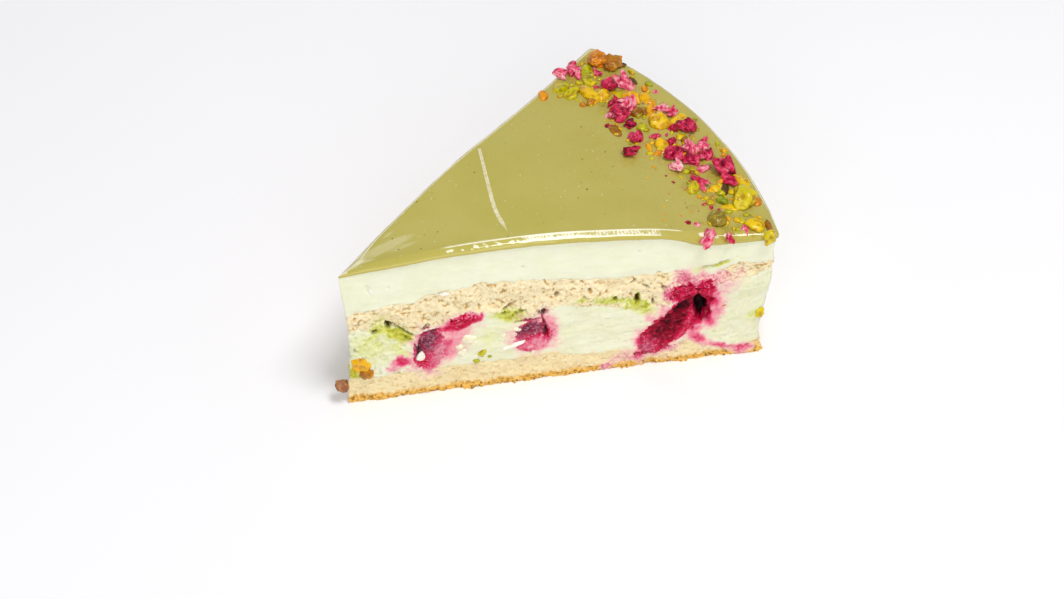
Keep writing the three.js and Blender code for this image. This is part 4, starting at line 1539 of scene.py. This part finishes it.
@dataclass
class OpenedRaspberry:
    """A raspberry cut open: a lumpy cut face in the wall and a rounded body behind it."""

    form: SliceForm
    fruit: Fruit
    material: bpy.types.Material
    seed: int
    columns: int = 150
    face_rings: int = 44
    body_rings: int = 16
    growth: float = 1.5
    drupelet: float = 1.9
    rim_sink: float = 0.9
    hollow_depth: float = 3.2

    def draft(self) -> Draft:
        """Draws the raspberry."""
        fruit, oval = self.fruit, self.fruit.oval
        turn = np.arange(self.columns) / self.columns * FULL_TURN
        curve = np.linspace(0.06, 1.5, self.body_rings)
        out = np.concatenate([np.linspace(0.03, 1, self.face_rings), np.cos(curve)])[:, None]
        deep = np.concatenate([np.zeros(self.face_rings), np.sin(curve)])[:, None]
        along = out * np.cos(turn) * (oval.length / 2 + self.growth)
        across = out * np.sin(turn) * (oval.width / 2 + self.growth)
        rings = np.stack([along, deep * fruit.depth + 0 * turn, across], axis=-1).reshape(-1, 3)
        points = turned(np.concatenate([rings, [[0, 0, 0], [0, fruit.depth, 0]]]), oval.lean, 0, 2)
        points += np.array([oval.x, fruit.recess, oval.y])
        domes, owners = grains(points * np.array([1.0, 0.6, 1.0]), self.drupelet, self.seed)
        fine = bumps(points, 1.2, 4, self.seed + 1)
        on_face = points[:, 1] < fruit.recess + 0.01
        radial = np.concatenate([np.repeat(out[:, 0], self.columns), [0.0, 0.0]])
        sunk = self.rim_sink * rise(radial, 0.84, 1.0)
        lift = on_face * (0.34 * domes * (0.3 + owners) + 0.4 * fine - sunk + 0.25)
        # The hollow value sinks the face back and paints it near black as shade.
        hollow = on_face * covered(self.form, fruit.hollows, points, 0.3 * bumps(points, 1.6, 2, 4))
        faced = points * np.array([1.0, 0.0, 1.0])
        fields = {"relief": np.clip(0.5 + 0.5 * domes * (0.4 + owners) + 0.4 * fine - 0.15, 0, 1),
                  "hollow": hollow, "juice": self.juice(faced, radial),
                  "film": self.spread(fruit.filmed, faced) * rise(radial, 1.0, 0.8)}
        points[:, 1] -= lift - self.hollow_depth * hollow
        faces = tube_faces(self.face_rings + self.body_rings, self.columns)
        if oval.face is Face.FRONT:
            return Draft(points, [part[:, ::-1] for part in faces], fields)
        mirrored = points * np.array([1.0, -1.0, 1.0])
        return Draft(turned(mirrored, math.degrees(self.form.angle), 0, 1), faces, fields)

    def spread(self, marks: Sequence[Spot], faced: Points) -> Values:
        """Says how strongly spots cover points of the cut face."""
        return covered(self.form, marks, faced, 0.45 * bumps(faced, 2.4, 4, self.seed + 2))

    def juice(self, faced: Points, radial: Values) -> Values:
        """Says how dark the juice is over the cut face.

        Args:
            faced: Points with their distance along the face, 0, and their height.
            radial: How far each lies from the middle, 1 on the rim.

        Returns:
            Shares from 0 to 1.
        """
        darker, paler = self.spread(self.fruit.darker, faced), self.spread(self.fruit.paler, faced)
        rim = rise(radial + 0.25 * bumps(faced, 2.2, 4, self.seed + 3), 0.62, 0.98)
        return np.clip(mix(self.fruit.core + darker - paler, self.fruit.rim, rim), 0, 1)

    def build(self) -> bpy.types.Object:
        """Makes the piece and lets it stand for its node."""
        node = self.fruit.node
        return placed_piece(self.form, "opened_" + node, self.draft(), self.material, node)


# Loose pieces


class Shade(Enum):
    """Shades of dried raspberry, as a share from the darkest to the palest."""

    PURPLE = 0.14
    DARK = 0.3
    CRIMSON = 0.46
    RED = 0.54
    PINK = 0.72
    PALE = 0.9


class Nut(Enum):
    """Shades of candied pistachio, as a share from brown to green."""

    BROWN = 0.04
    CARAMEL = 0.2
    AMBER = 0.32
    ORANGE = 0.4
    YELLOW = 0.54
    LEMON = 0.64
    LIME = 0.78
    GREEN = 0.88


@dataclass(frozen=True)
class Lump:
    """A broken piece: its middle, its length, width and height, its turn and lean in degrees, its tone."""

    place: Triple
    size: Triple
    turn: float
    lean: float
    tone: float


@dataclass(frozen=True)
class Topping:
    """A piece lying on the glaze: its middle, length, width, turn in degrees and shade."""

    x: float
    y: float
    length: float
    width: float
    turn: float
    shade: Shade | Nut

    def lump(self, form: SliceForm, height_share: float) -> Lump:
        """Turns the piece into a lump resting on the glaze.

        Args:
            form: The slice.
            height_share: Its height against its width.

        Returns:
            The lump.
        """
        height = max(LEAST_HEIGHT, height_share * self.width)
        ground = float(form.glaze_top(np.array([self.x, self.y])))
        return Lump((self.x, self.y, ground + height / 2 - PIECE_SINK), (self.length, self.width, height),
                    self.turn, 0.0, self.shade.value)


def toppings(*rows: tuple) -> tuple[Topping, ...]:
    """Makes toppings from rows of their x, y, length, width, turn and shade."""
    return tuple(Topping(*row) for row in rows)


def pressed_in(*rows: tuple) -> tuple[Lump, ...]:
    """Makes lumps on the front cut face from rows of their middle, size, lean and tone."""
    return tuple(Lump(place, size, 0, lean, tone) for place, size, lean, tone in rows)


LEAST_HEIGHT = 1.4
PIECE_SINK = 0.7
BERRY_HEIGHT = 0.8
NUT_HEIGHT = 0.62
PURPLE, DARK, CRIMSON, RED, PINK, PALE = Shade
BROWN, CARAMEL, AMBER, ORANGE, YELLOW, LEMON, LIME, GREEN = Nut

BERRY_TOPPINGS = toppings(
    (77.5, 74, 6.6, 4, 70, PINK), (73, 73, 4.8, 3.6, 125, PINK), (84, 72.4, 4, 2.6, 80, RED),
    (86, 65, 4.6, 4.2, 60, CRIMSON), (90.5, 66.4, 7, 4.4, 110, PINK), (86, 58.4, 5, 3, 72, CRIMSON),
    (90, 57, 6.6, 4.2, 45, PINK), (87, 52.4, 6.2, 5.6, 30, CRIMSON), (99, 54, 5, 2.6, 40, PINK),
    (101.6, 52, 6, 2.4, 28, PINK), (88.5, 48, 4.6, 2.6, 42, DARK), (104, 44.4, 5.2, 4.8, 80, CRIMSON),
    (89.2, 41.4, 5, 3.2, 95, CRIMSON), (86.2, 34.9, 5.2, 4.6, 140, DARK), (94.6, 42, 3.6, 2.2, 50, CRIMSON),
    (98.7, 39.2, 3.2, 2.8, 90, DARK), (98, 33.2, 5.2, 4.6, 60, CRIMSON), (98, 28.2, 5.4, 3.8, 130, PALE),
    (103.4, 35.4, 7, 3.6, 96, PINK), (102.4, 30.6, 5, 4, 50, CRIMSON), (107.2, 36.6, 7, 2.6, 62, PINK),
    (107.2, 32.2, 4.8, 3.2, 95, CRIMSON), (105.4, 27, 3.8, 2.6, 160, PINK), (111, 26.4, 7, 6, 100, CRIMSON),
    (111.4, 21.4, 6, 3.6, 82, CRIMSON), (103.2, 21, 6.6, 3, 104, CRIMSON), (111.4, 2.4, 4, 1.8, 60, PINK),
)
CORNER_NUTS = toppings(
    (84.5, 77.6, 5.6, 5, 80, AMBER), (88.2, 75.4, 6, 4.8, 20, CARAMEL), (91, 77.6, 4.6, 2.6, 62, CARAMEL),
    (85.6, 80, 2.6, 2, 30, CARAMEL), (87, 78.8, 2.8, 2.2, 140, ORANGE), (91.6, 74.8, 2.4, 1.6, 20, BROWN),
)
NUT_TOPPINGS = toppings(
    (81, 73, 5.6, 3.2, 84, LIME), (72.4, 67, 3.8, 3.6, 20, LIME), (66.4, 64.4, 3.6, 2.6, 90, ORANGE),
    (75, 64.2, 4.8, 3.4, 48, LIME), (80, 63, 7, 3.4, 118, YELLOW), (83.6, 62, 3.8, 3.4, 60, YELLOW),
    (88, 69, 4, 2.6, 155, LEMON), (91.8, 59.6, 5, 4, 150, YELLOW), (95.6, 59.4, 4, 2.6, 100, YELLOW),
    (91.6, 53.4, 3.4, 3, 50, CARAMEL), (96, 54.8, 6.6, 2.2, 72, ORANGE), (97.6, 48.4, 5.4, 5, 30, YELLOW),
    (102.8, 48, 5, 3.8, 48, YELLOW), (84, 46, 5, 2.4, 104, CARAMEL), (91.8, 46.8, 3.2, 2.6, 60, LIME),
    (95.8, 38.6, 4.8, 3.2, 100, YELLOW), (96, 36.2, 3.8, 2.6, 20, LEMON), (100.4, 19.4, 4.6, 3.2, 60, LIME),
    (106.8, 18.4, 3.2, 2.6, 40, YELLOW), (107.6, 13.6, 3.2, 2.8, 90, GREEN), (115, 21, 5.4, 3, 104, YELLOW),
    (113.4, 13.4, 6.8, 6.2, 55, LEMON), (109.6, 11, 4.6, 2.2, 170, YELLOW), (114.4, 3, 4.6, 3.8, 150, LEMON),
)
ROUND_NUT = toppings((104.6, 6, 5, 4.8, 100, BROWN))

# Smaller scraps between them
BERRY_SCRAPS = toppings(
    (82.3, 66, 2, 1.5, 30, CRIMSON), (84.5, 53, 5, 3, 60, PINK), (100.5, 45, 3.5, 2.5, 50, CRIMSON),
    (82, 48, 3, 1.3, 50, PURPLE), (96.3, 5, 2, 1.3, 20, DARK), (98.9, 61.8, 2, 1.5, 40, PINK),
)
NUT_SCRAPS = toppings(
    (93.8, 53.5, 3.5, 2, 90, CARAMEL), (93, 68, 4, 1.6, 120, BROWN), (88.5, 61.8, 3, 2.5, 20, LIME),
    (117.3, 12.5, 3, 2.2, 80, AMBER), (118.2, 3, 4, 1.6, 95, CARAMEL), (96, 63.5, 2.5, 1.5, 80, AMBER),
    (92, 37.5, 3, 1.5, 90, ORANGE), (94, 35, 3, 1.5, 20, AMBER), (100, 36.8, 3, 1.5, 10, AMBER),
    (112.5, 32.5, 2, 1, 30, AMBER), (79.5, 59.5, 3.5, 2.5, 30, CARAMEL), (77, 58.5, 2, 1.5, 70, CARAMEL),
    (102, 26, 2, 1.5, 20, CARAMEL), (109.5, 18.5, 4, 2, 80, BROWN), (101.4, 41.4, 3, 2.2, 10, LEMON),
    (102.8, 39.8, 2.6, 2, 60, CARAMEL),
)

# Pieces stuck to the edge of the glaze over the front cut face
EDGE_BERRIES = pressed_in(((101, -0.6, 49.2), (6, 3.6, 3.4), 40, 0.74),
                          ((107, -1.1, 47.9), (3.4, 2, 2.2), 110, 0.56))
EDGE_NUTS = pressed_in(((117.6, -1.4, 46.9), (4.6, 2.5, 3), 60, 0.66))

# Pistachios, flakes and crumbs pressed into the front cut face
TIP_NUTS = pressed_in(
    ((4.4, 0.9, 15.2), (6.2, 4.4, 4.8), 104, 0.48), ((5.9, 0.5, 11.6), (4.6, 3.6, 4), 30, 0.16),
    ((2.6, 1.2, 12.4), (3.8, 3.4, 3.2), 60, 0.72))
CUT_NUTS = pressed_in(
    ((38.6, 0.2, 13.9), (3.4, 1.8, 2.6), 70, 0.78), ((36.4, 0.2, 11), (2.8, 1.8, 2), 20, 0.76),
    ((117.2, 0.2, 16.2), (4, 2.2, 2.4), 85, 0.62), ((40.4, 0.2, 12.2), (1.6, 1, 1.4), 0, 0.8),
    ((106.6, 0.2, 20.8), (1.5, 0.9, 1.3), 20, 0.22))
CUT_FLAKES = pressed_in(
    ((21.1, -0.2, 16), (4.6, 1, 3.2), 240, 0.9), ((47, -0.2, 15.2), (6.4, 0.9, 1.7), 22, 0.95),
    ((28, 0, 39.3), (3.2, 0.9, 1.9), -6, 0.95), ((8.7, 0.2, 43.4), (2.8, 0.7, 1.2), 105, 0.9))
CUT_CRUMBS = pressed_in(
    ((34.8, 0.5, 20.4), (3.4, 1.8, 2.8), 30, 0.5), ((36.2, 0.5, 18), (2.4, 1.4, 2), 80, 0.5),
    ((32, 0.5, 17.4), (2, 1.4, 1.8), 10, 0.4), ((48.2, 0.5, 21.6), (1.9, 1.1, 2.2), 50, 0.5),
    ((33, 0.5, 14.6), (2.4, 1.6, 1.8), 40, 0.5), ((44.6, 0.5, 19.8), (1.6, 1.2, 1.4), 20, 0.5))
TIP_CRUMBS = (Lump((-1.1, 0.8, 6.6), (3.6, 3.2, 3.8), 20, 60, 0.5),)


@dataclass(frozen=True)
class Scatter:
    """Small pieces scattered over the glaze between two radii, gathered midway if that is above 1."""

    count: int
    radii: tuple[float, float]
    turns: tuple[float, float]
    sizes: tuple[float, float]
    tones: tuple[float, float]
    flatness: float
    seed: int
    gathered: float = 1.0

    def lumps(self, form: SliceForm) -> list[Lump]:
        """Draws lots for the pieces.

        Args:
            form: The slice.

        Returns:
            The pieces as lumps resting on the glaze.
        """
        made = []
        for number in range(self.count):
            draws = chance(self.seed + 7.3 * number + np.arange(6) * 1.9)
            aside = math.copysign(abs(2 * draws[0] - 1) ** self.gathered, draws[0] - 0.5)
            radius = mix(*self.radii, 0.5 + 0.5 * aside)
            turn = form.angle * mix(*self.turns, draws[1])
            length = mix(*self.sizes, draws[2] ** 2)
            size = (length, length * mix(0.5, 0.95, draws[3]), length * self.flatness)
            x, y = radius * math.cos(turn), radius * math.sin(turn)
            height = float(form.glaze_top(np.array([x, y]))) + 0.1 * length
            made.append(Lump((x, y, height), size, 360 * draws[4], 0.0, mix(*self.tones, draws[5])))
        return made


NUT_BITS = (
    Scatter(170, (95, 118), (0.36, 0.98), (0.7, 2.6), (0.42, 0.86), 0.5, 6000, 1.6),
    Scatter(76, (101, 118), (0.02, 0.36), (0.7, 2.6), (0.42, 0.86), 0.5, 6300, 1.3),
    Scatter(14, (88, 100), (0.04, 0.5), (0.4, 1.0), (0.36, 0.6), 0.4, 6600),
)
BERRY_BITS = Scatter(44, (97, 117), (0.05, 0.97), (0.6, 2.2), (0.3, 0.9), 0.6, 7000, 1.4)
PALE_DOTS = Scatter(110, (14, 117), (0.04, 0.96), (0.2, 0.55), (0.4, 0.6), 0.5, 8000)
DARK_DOTS = Scatter(70, (14, 110), (0.04, 0.96), (0.2, 0.6), (0.4, 0.6), 0.4, 8500)


def broken_ball(detail: int, cuts: int, seed: float, keep: tuple[float, float]) -> Points:
    """Draws a ball with flat sides broken off it.

    Args:
        detail: Detail of the ball.
        cuts: How many sides are broken off.
        seed: Seed of their directions.
        keep: How far from the middle the sides lie, as the least and the most.

    Returns:
        Its points.
    """
    points = ball(detail)[0].copy()
    for number in range(cuts):
        draws = chance(seed + 3.1 * number + np.array([0.0, 1.0, 2.0, 5.0]))
        turn, tilt = draws[0] * FULL_TURN, 2 * draws[1] - 1
        way = np.array([*(math.sqrt(1 - tilt * tilt) * bearing(turn)), tilt])
        over = points @ way - mix(*keep, draws[2])
        points -= np.maximum(over, 0)[:, None] * way
    return points


def swollen(points: Points, lift: Values) -> Points:
    """Moves points away from their middle, each by its lift."""
    outward = points / np.maximum(np.linalg.norm(points, axis=1), 1e-6)[:, None]
    return points + outward * lift[:, None]


@dataclass
class Lumps:
    """Broken pieces of one kind, joined into one mesh."""

    form: SliceForm
    name: str
    lumps: Sequence[Lump]
    seed: int
    slot: str = "glaze"
    node: str = "glaze"
    look: Finish = NutFinish()
    detail: int = 3
    growth: float = 1.15
    cuts: int = 6
    keep: tuple[float, float] = (0.55, 0.92)
    roughness: float = 0.3
    large: float = 5.0

    def shape(self, lump: Lump, seed: float) -> Draft:
        """Draws one piece about its middle, with its relief.

        Args:
            lump: The piece.
            seed: Its own seed.

        Returns:
            Its draft.
        """
        detail = self.detail + (lump.size[0] >= self.large)
        points = broken_ball(detail, self.cuts, seed, self.keep) * np.array(lump.size) * self.growth / 2
        offset = points + 5.3 * (seed % 100)
        pits = rise(bumps(offset, 1.5, 4, 2), 0.16, 0.5)
        relief = 0.5 * bumps(offset, 2.0, 4, 1) - 0.35 * pits
        return Draft(swollen(points, self.roughness * min(lump.size) * relief), [ball(detail)[1]],
                     {"relief": np.clip(0.6 + 1.1 * relief, 0, 1)})

    def drafted(self, lump: Lump, seed: float) -> Draft:
        """Draws one piece in its place.

        Args:
            lump: The piece.
            seed: Its own seed.

        Returns:
            Its draft.
        """
        made = self.shape(lump, seed)
        points = turned(turned(made.points, lump.lean, 0, 2), lump.turn, 0, 1)
        made.points = points + np.array(lump.place)
        made.fields["tone"] = np.full(len(points), lump.tone + 0.12 * (float(chance(seed)) - 0.5))
        return made

    def build(self) -> bpy.types.Object:
        """Makes the piece and names the node that it helps to stand for."""
        drafts = [self.drafted(lump, self.seed + 40.0 * i) for i, lump in enumerate(self.lumps)]
        return placed_piece(self.form, self.name, Draft.joined(drafts), self.look.material(),
                            self.node)


@dataclass
class RaspberryShards(Lumps):
    """Crumpled pieces of dried raspberry, each a fan of torn petals."""

    slot: str = "raspberry"
    look: Finish = ShardFinish()
    petals: int = 4
    small: float = 3.0
    drupelet: float = 1.1

    def shape(self, lump: Lump, seed: float) -> Draft:
        """Draws a fan of petals, granular and pointed."""
        return Draft.joined([self.petal(lump, seed + 0.7 * i, i) for i in range(self.petals)])

    def petal(self, lump: Lump, seed: float, number: int) -> Draft:
        """Draws one petal of a shard.

        Args:
            lump: The shard.
            seed: The petal's own seed.
            number: Which of the petals it is.

        Returns:
            Its draft.
        """
        draws = chance(seed * 1.37 + np.array([0.0, 1.1, 2.3, 3.7, 5.9]))
        length, width, height = (part * self.growth for part in lump.size)
        slender = np.array([0.86 * length, mix(0.56, 0.86, draws[0]) * width,
                            mix(0.46, 0.76, draws[1]) * height])
        detail = self.detail - (length <= self.small)
        unit = broken_ball(detail, 9, seed, (0.42, 0.88))
        unit[:, 1:] *= (1 - 0.4 * rise(unit[:, 0], -0.2, 1.0))[:, None]
        points = unit * slender / 2
        offset = points + 7.7 * (seed % 50)
        domes, owners = grains(offset, self.drupelet, 3)
        folds = np.abs(bumps(offset, 1.5, 3, 2))
        relief = 0.34 * domes * (0.5 + 0.8 * owners) - 0.9 * folds + 0.1
        points = swollen(points, 0.3 * relief)
        points[:, 2] += 0.1 * points[:, 0] ** 2 / slender[0] * (1 if draws[2] > 0.4 else -1)
        points = turned(points, mix(-34, 34, draws[3]), 0, 2)
        points = turned(points, mix(-36, 36, draws[4]) + 180 * (number % 2), 0, 1)
        aside = (number - (self.petals - 1) / 2) / self.petals
        points += np.array([0.16 * length * (draws[0] - 0.5), 0.62 * width * aside,
                            0.3 * height * (draws[1] - 0.4)])
        return Draft(points, [ball(detail)[1]], {"relief": np.clip(0.5 + 0.75 * relief, 0, 1)})


@dataclass
class KnifeMark:
    """A double line that a knife left on the glaze, coloured pale."""

    form: SliceForm
    path: Profile = Profile(((4.6, 46.5), (10, 45.3), (15.8, 44.6), (28, 44.5), (42, 44.6)))
    width: float = 1.25
    height: float = 0.16
    sink: float = 0.35
    rows: int = 130
    columns: int = 24

    def draft(self) -> Draft:
        """Draws the mark: two low ridges with a groove between, sunk a little into the glaze."""
        start, end = self.path.points[0][0], self.path.points[-1][0]
        along = np.linspace(start, end, self.rows)[:, None]
        share = (along - start) / (end - start)
        half = self.width / 2 * rise(share, -0.02, 0.12) * mix(1.0, 0.6, share) + 0.05
        around = np.arange(self.columns) / self.columns * FULL_TURN
        across, top = -np.cos(around), np.sin(around) > 0
        ridge = self.height * (1.2 * np.abs(across) ** 0.8 * (1 - across ** 6) + 0.1) * top
        lift = mix(self.height * (1 - across ** 2) * top, ridge, rise(share, 0.25, 0.6)) - self.sink * (~top)
        x, y = np.broadcast_arrays(self.path.at(along) + half * across, along)
        ground = self.form.glaze_top(np.stack([x, y], axis=-1))
        rough = rise(bumps(along * np.array([0.0, 1.0, 0.0]), 1.6, 3, 6), -0.3, 0.4)[:, None]
        z = ground + lift * (0.5 + 0.5 * rough) - 0.02
        points = np.stack([x, y, z], axis=-1).reshape(-1, 3)
        ends = [[self.path.at(along[i, 0]), along[i, 0], ground[i].mean() - 0.1] for i in (0, -1)]
        return Draft(np.concatenate([points, ends]), tube_faces(self.rows, self.columns))

    def build(self) -> bpy.types.Object:
        """Makes the mark, which lies on the glaze."""
        finish = PlainFinish("knife mark", (232, 224, 190), (214, 204, 152), 0.3)
        return placed_piece(self.form, "knife_mark", self.draft(), finish.material(), "glaze")


# The studio


@dataclass(frozen=True)
class Softbox:
    """A square light: its beam's heading and fall in degrees, distance and side in metres, and watts."""

    name: str
    heading: float
    elevation: float
    distance: float
    size: float
    power: float


@dataclass(frozen=True)
class Studio:
    """Pale floor, soft lights and the camera at the photograph's viewing angle."""

    form: SliceForm
    target: Triple = (54.4, 12.0, 20.0)
    distance: float = 700.0
    heading: float = 9.64
    elevation: float = 46.36
    photo_width: float = 1064.0
    focal_pixels: float = 2500.0
    sensor: float = 36.0
    floor_size: float = 6.0
    sky: float = 0.42
    lit_height: float = 0.03
    lights: tuple[Softbox, ...] = (
        Softbox("overhead softbox", -35, 70, 1.1, 0.35, 6.3),
        Softbox("front softbox", 12, 32, 1.6, 1.2, 8.3),
        Softbox("back softbox", 170, 8, 1.6, 0.8, 3.0),
    )

    def aim(self, thing: bpy.types.Object, target: Sequence[float], view: "Studio | Softbox",
            distance: float) -> None:
        """Lets a light or camera look at a target.

        Args:
            thing: The light or camera.
            target: What it looks at, in metres.
            view: Its heading from +Y towards +X, and how steeply it looks down.
            distance: Metres between the two.
        """
        turn, tilt = math.radians(view.heading), math.radians(view.elevation)
        look = Vector((math.sin(turn) * math.cos(tilt), math.cos(turn) * math.cos(tilt), -math.sin(tilt)))
        thing.location = Vector(target) - look * distance
        thing.rotation_euler = look.to_track_quat("-Z", "Y").to_euler()

    def camera(self) -> None:
        """Makes the camera."""
        data = bpy.data.cameras.new("camera")
        data.sensor_width = self.sensor
        data.sensor_fit = "HORIZONTAL"
        data.lens = self.focal_pixels / self.photo_width * self.sensor
        camera = linked("camera", data)
        self.aim(camera, self.form.placed(np.array(self.target)), self, self.distance * MILLIMETRE)
        bpy.context.scene.camera = camera

    def light(self, box: Softbox) -> None:
        """Adds a soft light aimed at the slice.

        Args:
            box: Its place, size and power.
        """
        data = bpy.data.lights.new(box.name, "AREA")
        data.shape, data.size, data.energy = "SQUARE", box.size, box.power
        self.aim(linked(box.name, data), (0, 0, self.lit_height), box, box.distance)

    def floor(self) -> None:
        """Makes the pale floor."""
        half = self.floor_size / 2
        mesh = bpy.data.meshes.new("floor")
        corners = [(-half, -half, 0), (half, -half, 0), (half, half, 0), (-half, half, 0)]
        mesh.from_pydata(corners, [], [(0, 1, 2, 3)])
        mesh.materials.append(FloorFinish().material())
        linked("floor", mesh)

    def build(self) -> None:
        """Sets up the floor, the lights, the sky and the camera."""
        self.floor()
        for box in self.lights:
            self.light(box)
        world = bpy.data.worlds.new("studio")
        world.use_nodes = True
        sky = world.node_tree.nodes["Background"].inputs
        sky["Color"].default_value = (1, 1, 1, 1)
        sky["Strength"].default_value = self.sky
        bpy.context.scene.world = world
        bpy.context.scene.view_settings.view_transform = "Standard"
        self.camera()


def build_layers(form: SliceForm) -> None:
    """Builds the five layers from the floor up, and the raspberries opened between them.

    Args:
        form: The slice.
    """
    faces = CutFaces(form)
    base_top, sponge_bottom, sponge_top = (
        partial(form.torn, boundary) for boundary in (form.base_top, form.sponge_bottom, form.sponge_top))
    top_cream = CreamFinish("upper mousse", (237, 238, 212), (234, 235, 205), (228, 229, 188), 0.3, 0.42,
                            0.05)
    BaseSponge(form, faces, "crusted_base", "base_sponge", flat_floor, base_top, 36, lap=0.0).build()
    Mousse(form, faces, "pistachio_mousse", "lower_mousse", base_top, sponge_bottom, 62).build()
    Sponge(form, faces, "torn_sponge", "upper_sponge", sponge_bottom, sponge_top, 46).build()
    Mousse(form, faces, "cream_mousse", "upper_mousse", sponge_top, form.glaze_underside, 36, top_cream,
           smears=0.1, fine=0.04, bubbles=0.06, torn_ends=0.0, crumbs=0.0).build()
    Glaze(form, faces, "mirror_glaze", "glaze", form.glaze_underside, form.glaze_top, 30, lap=0.0,
          high_rings=tuple(1 - ring / 36 for ring in range(1, 36))).build()
    flesh = FleshFinish().material()
    for number, fruit in enumerate(FRUITS):
        OpenedRaspberry(form, fruit, flesh, 11 + number).build()


def build_toppings(form: SliceForm) -> None:
    """Builds the pieces that lie on the glaze.

    Args:
        form: The slice.
    """
    berries = [piece.lump(form, BERRY_HEIGHT) for piece in BERRY_TOPPINGS + BERRY_SCRAPS]
    corner, nuts, olive = (
        [piece.lump(form, NUT_HEIGHT) for piece in table]
        for table in (CORNER_NUTS, NUT_TOPPINGS + NUT_SCRAPS, ROUND_NUT))
    bits = [lump for scatter in NUT_BITS for lump in scatter.lumps(form)]
    olive_look = PlainFinish("olive pistachio", (128, 108, 22), (166, 144, 44), 0.1, 0.4)
    RaspberryShards(form, "raspberry_shards", [*berries, *EDGE_BERRIES], 0, growth=1.2).build()
    RaspberryShards(form, "raspberry_bits", BERRY_BITS.lumps(form), 400, petals=2).build()
    Lumps(form, "corner_pistachios", corner, 3000, detail=4, growth=1.3, cuts=9, keep=(0.5, 0.86),
          roughness=0.5).build()
    Lumps(form, "pistachio_pieces", [*nuts, *EDGE_NUTS], 3120, growth=1.3).build()
    Lumps(form, "olive_pistachio", olive, 3400, look=olive_look, detail=4, cuts=3, keep=(0.8, 0.95),
          roughness=0.06).build()
    Lumps(form, "pistachio_bits", bits, 3500, detail=2).build()


def build_cut_pieces(form: SliceForm) -> None:
    """Builds the small pieces on the front cut face.

    Args:
        form: The slice.
    """
    mousse, base = ("lower_mousse", "lower_mousse"), ("base_sponge", "base_sponge")
    flake_look = PlainFinish("pale flake", (250, 246, 236), (236, 226, 204), 0.4)
    crumb_look = PlainFinish("cream crumb", (247, 243, 218), (234, 226, 188), 0.8, 0.1)
    toasted_look = PlainFinish("toasted crumb", (142, 88, 58), (178, 124, 80), 0.8)
    Lumps(form, "tip_pistachio", TIP_NUTS, 3700, *mousse).build()
    Lumps(form, "cut_pistachios", CUT_NUTS, 3800, *mousse).build()
    Lumps(form, "pale_flakes", CUT_FLAKES, 4776, *mousse, flake_look, growth=1.3, cuts=14,
          keep=(0.4, 0.75)).build()
    Lumps(form, "cream_crumbs", CUT_CRUMBS, 3920, *mousse, crumb_look, growth=1.5, cuts=10,
          roughness=0.32).build()
    Lumps(form, "brown_crumb", TIP_CRUMBS, 3950, *base, toasted_look).build()


def build_marks(form: SliceForm) -> None:
    """Builds the bubbles and specks in the glaze and the knife's mark on it.

    Args:
        form: The slice.
    """
    # The bubbles' pale colour is partly a painted highlight.
    lit_bubble_look = PlainFinish("glaze bubble", (226, 218, 158), (240, 232, 190), 0.2)
    speck_look = PlainFinish("dark speck", (112, 100, 40), (140, 126, 54), 0.35)
    Lumps(form, "glaze_bubbles", PALE_DOTS.lumps(form), 4000, look=lit_bubble_look, detail=1).build()
    Lumps(form, "glaze_specks", DARK_DOTS.lumps(form), 4500, look=speck_look, detail=1).build()
    KnifeMark(form).build()


def main() -> None:
    """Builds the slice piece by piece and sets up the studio."""
    logging.basicConfig(level=logging.INFO, format="%(name)s: %(message)s")
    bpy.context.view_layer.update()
    form = SliceForm()
    build_layers(form)
    build_toppings(form)
    build_cut_pieces(form)
    build_marks(form)
    Studio(form).build()


if __name__ == "__main__":
    main()
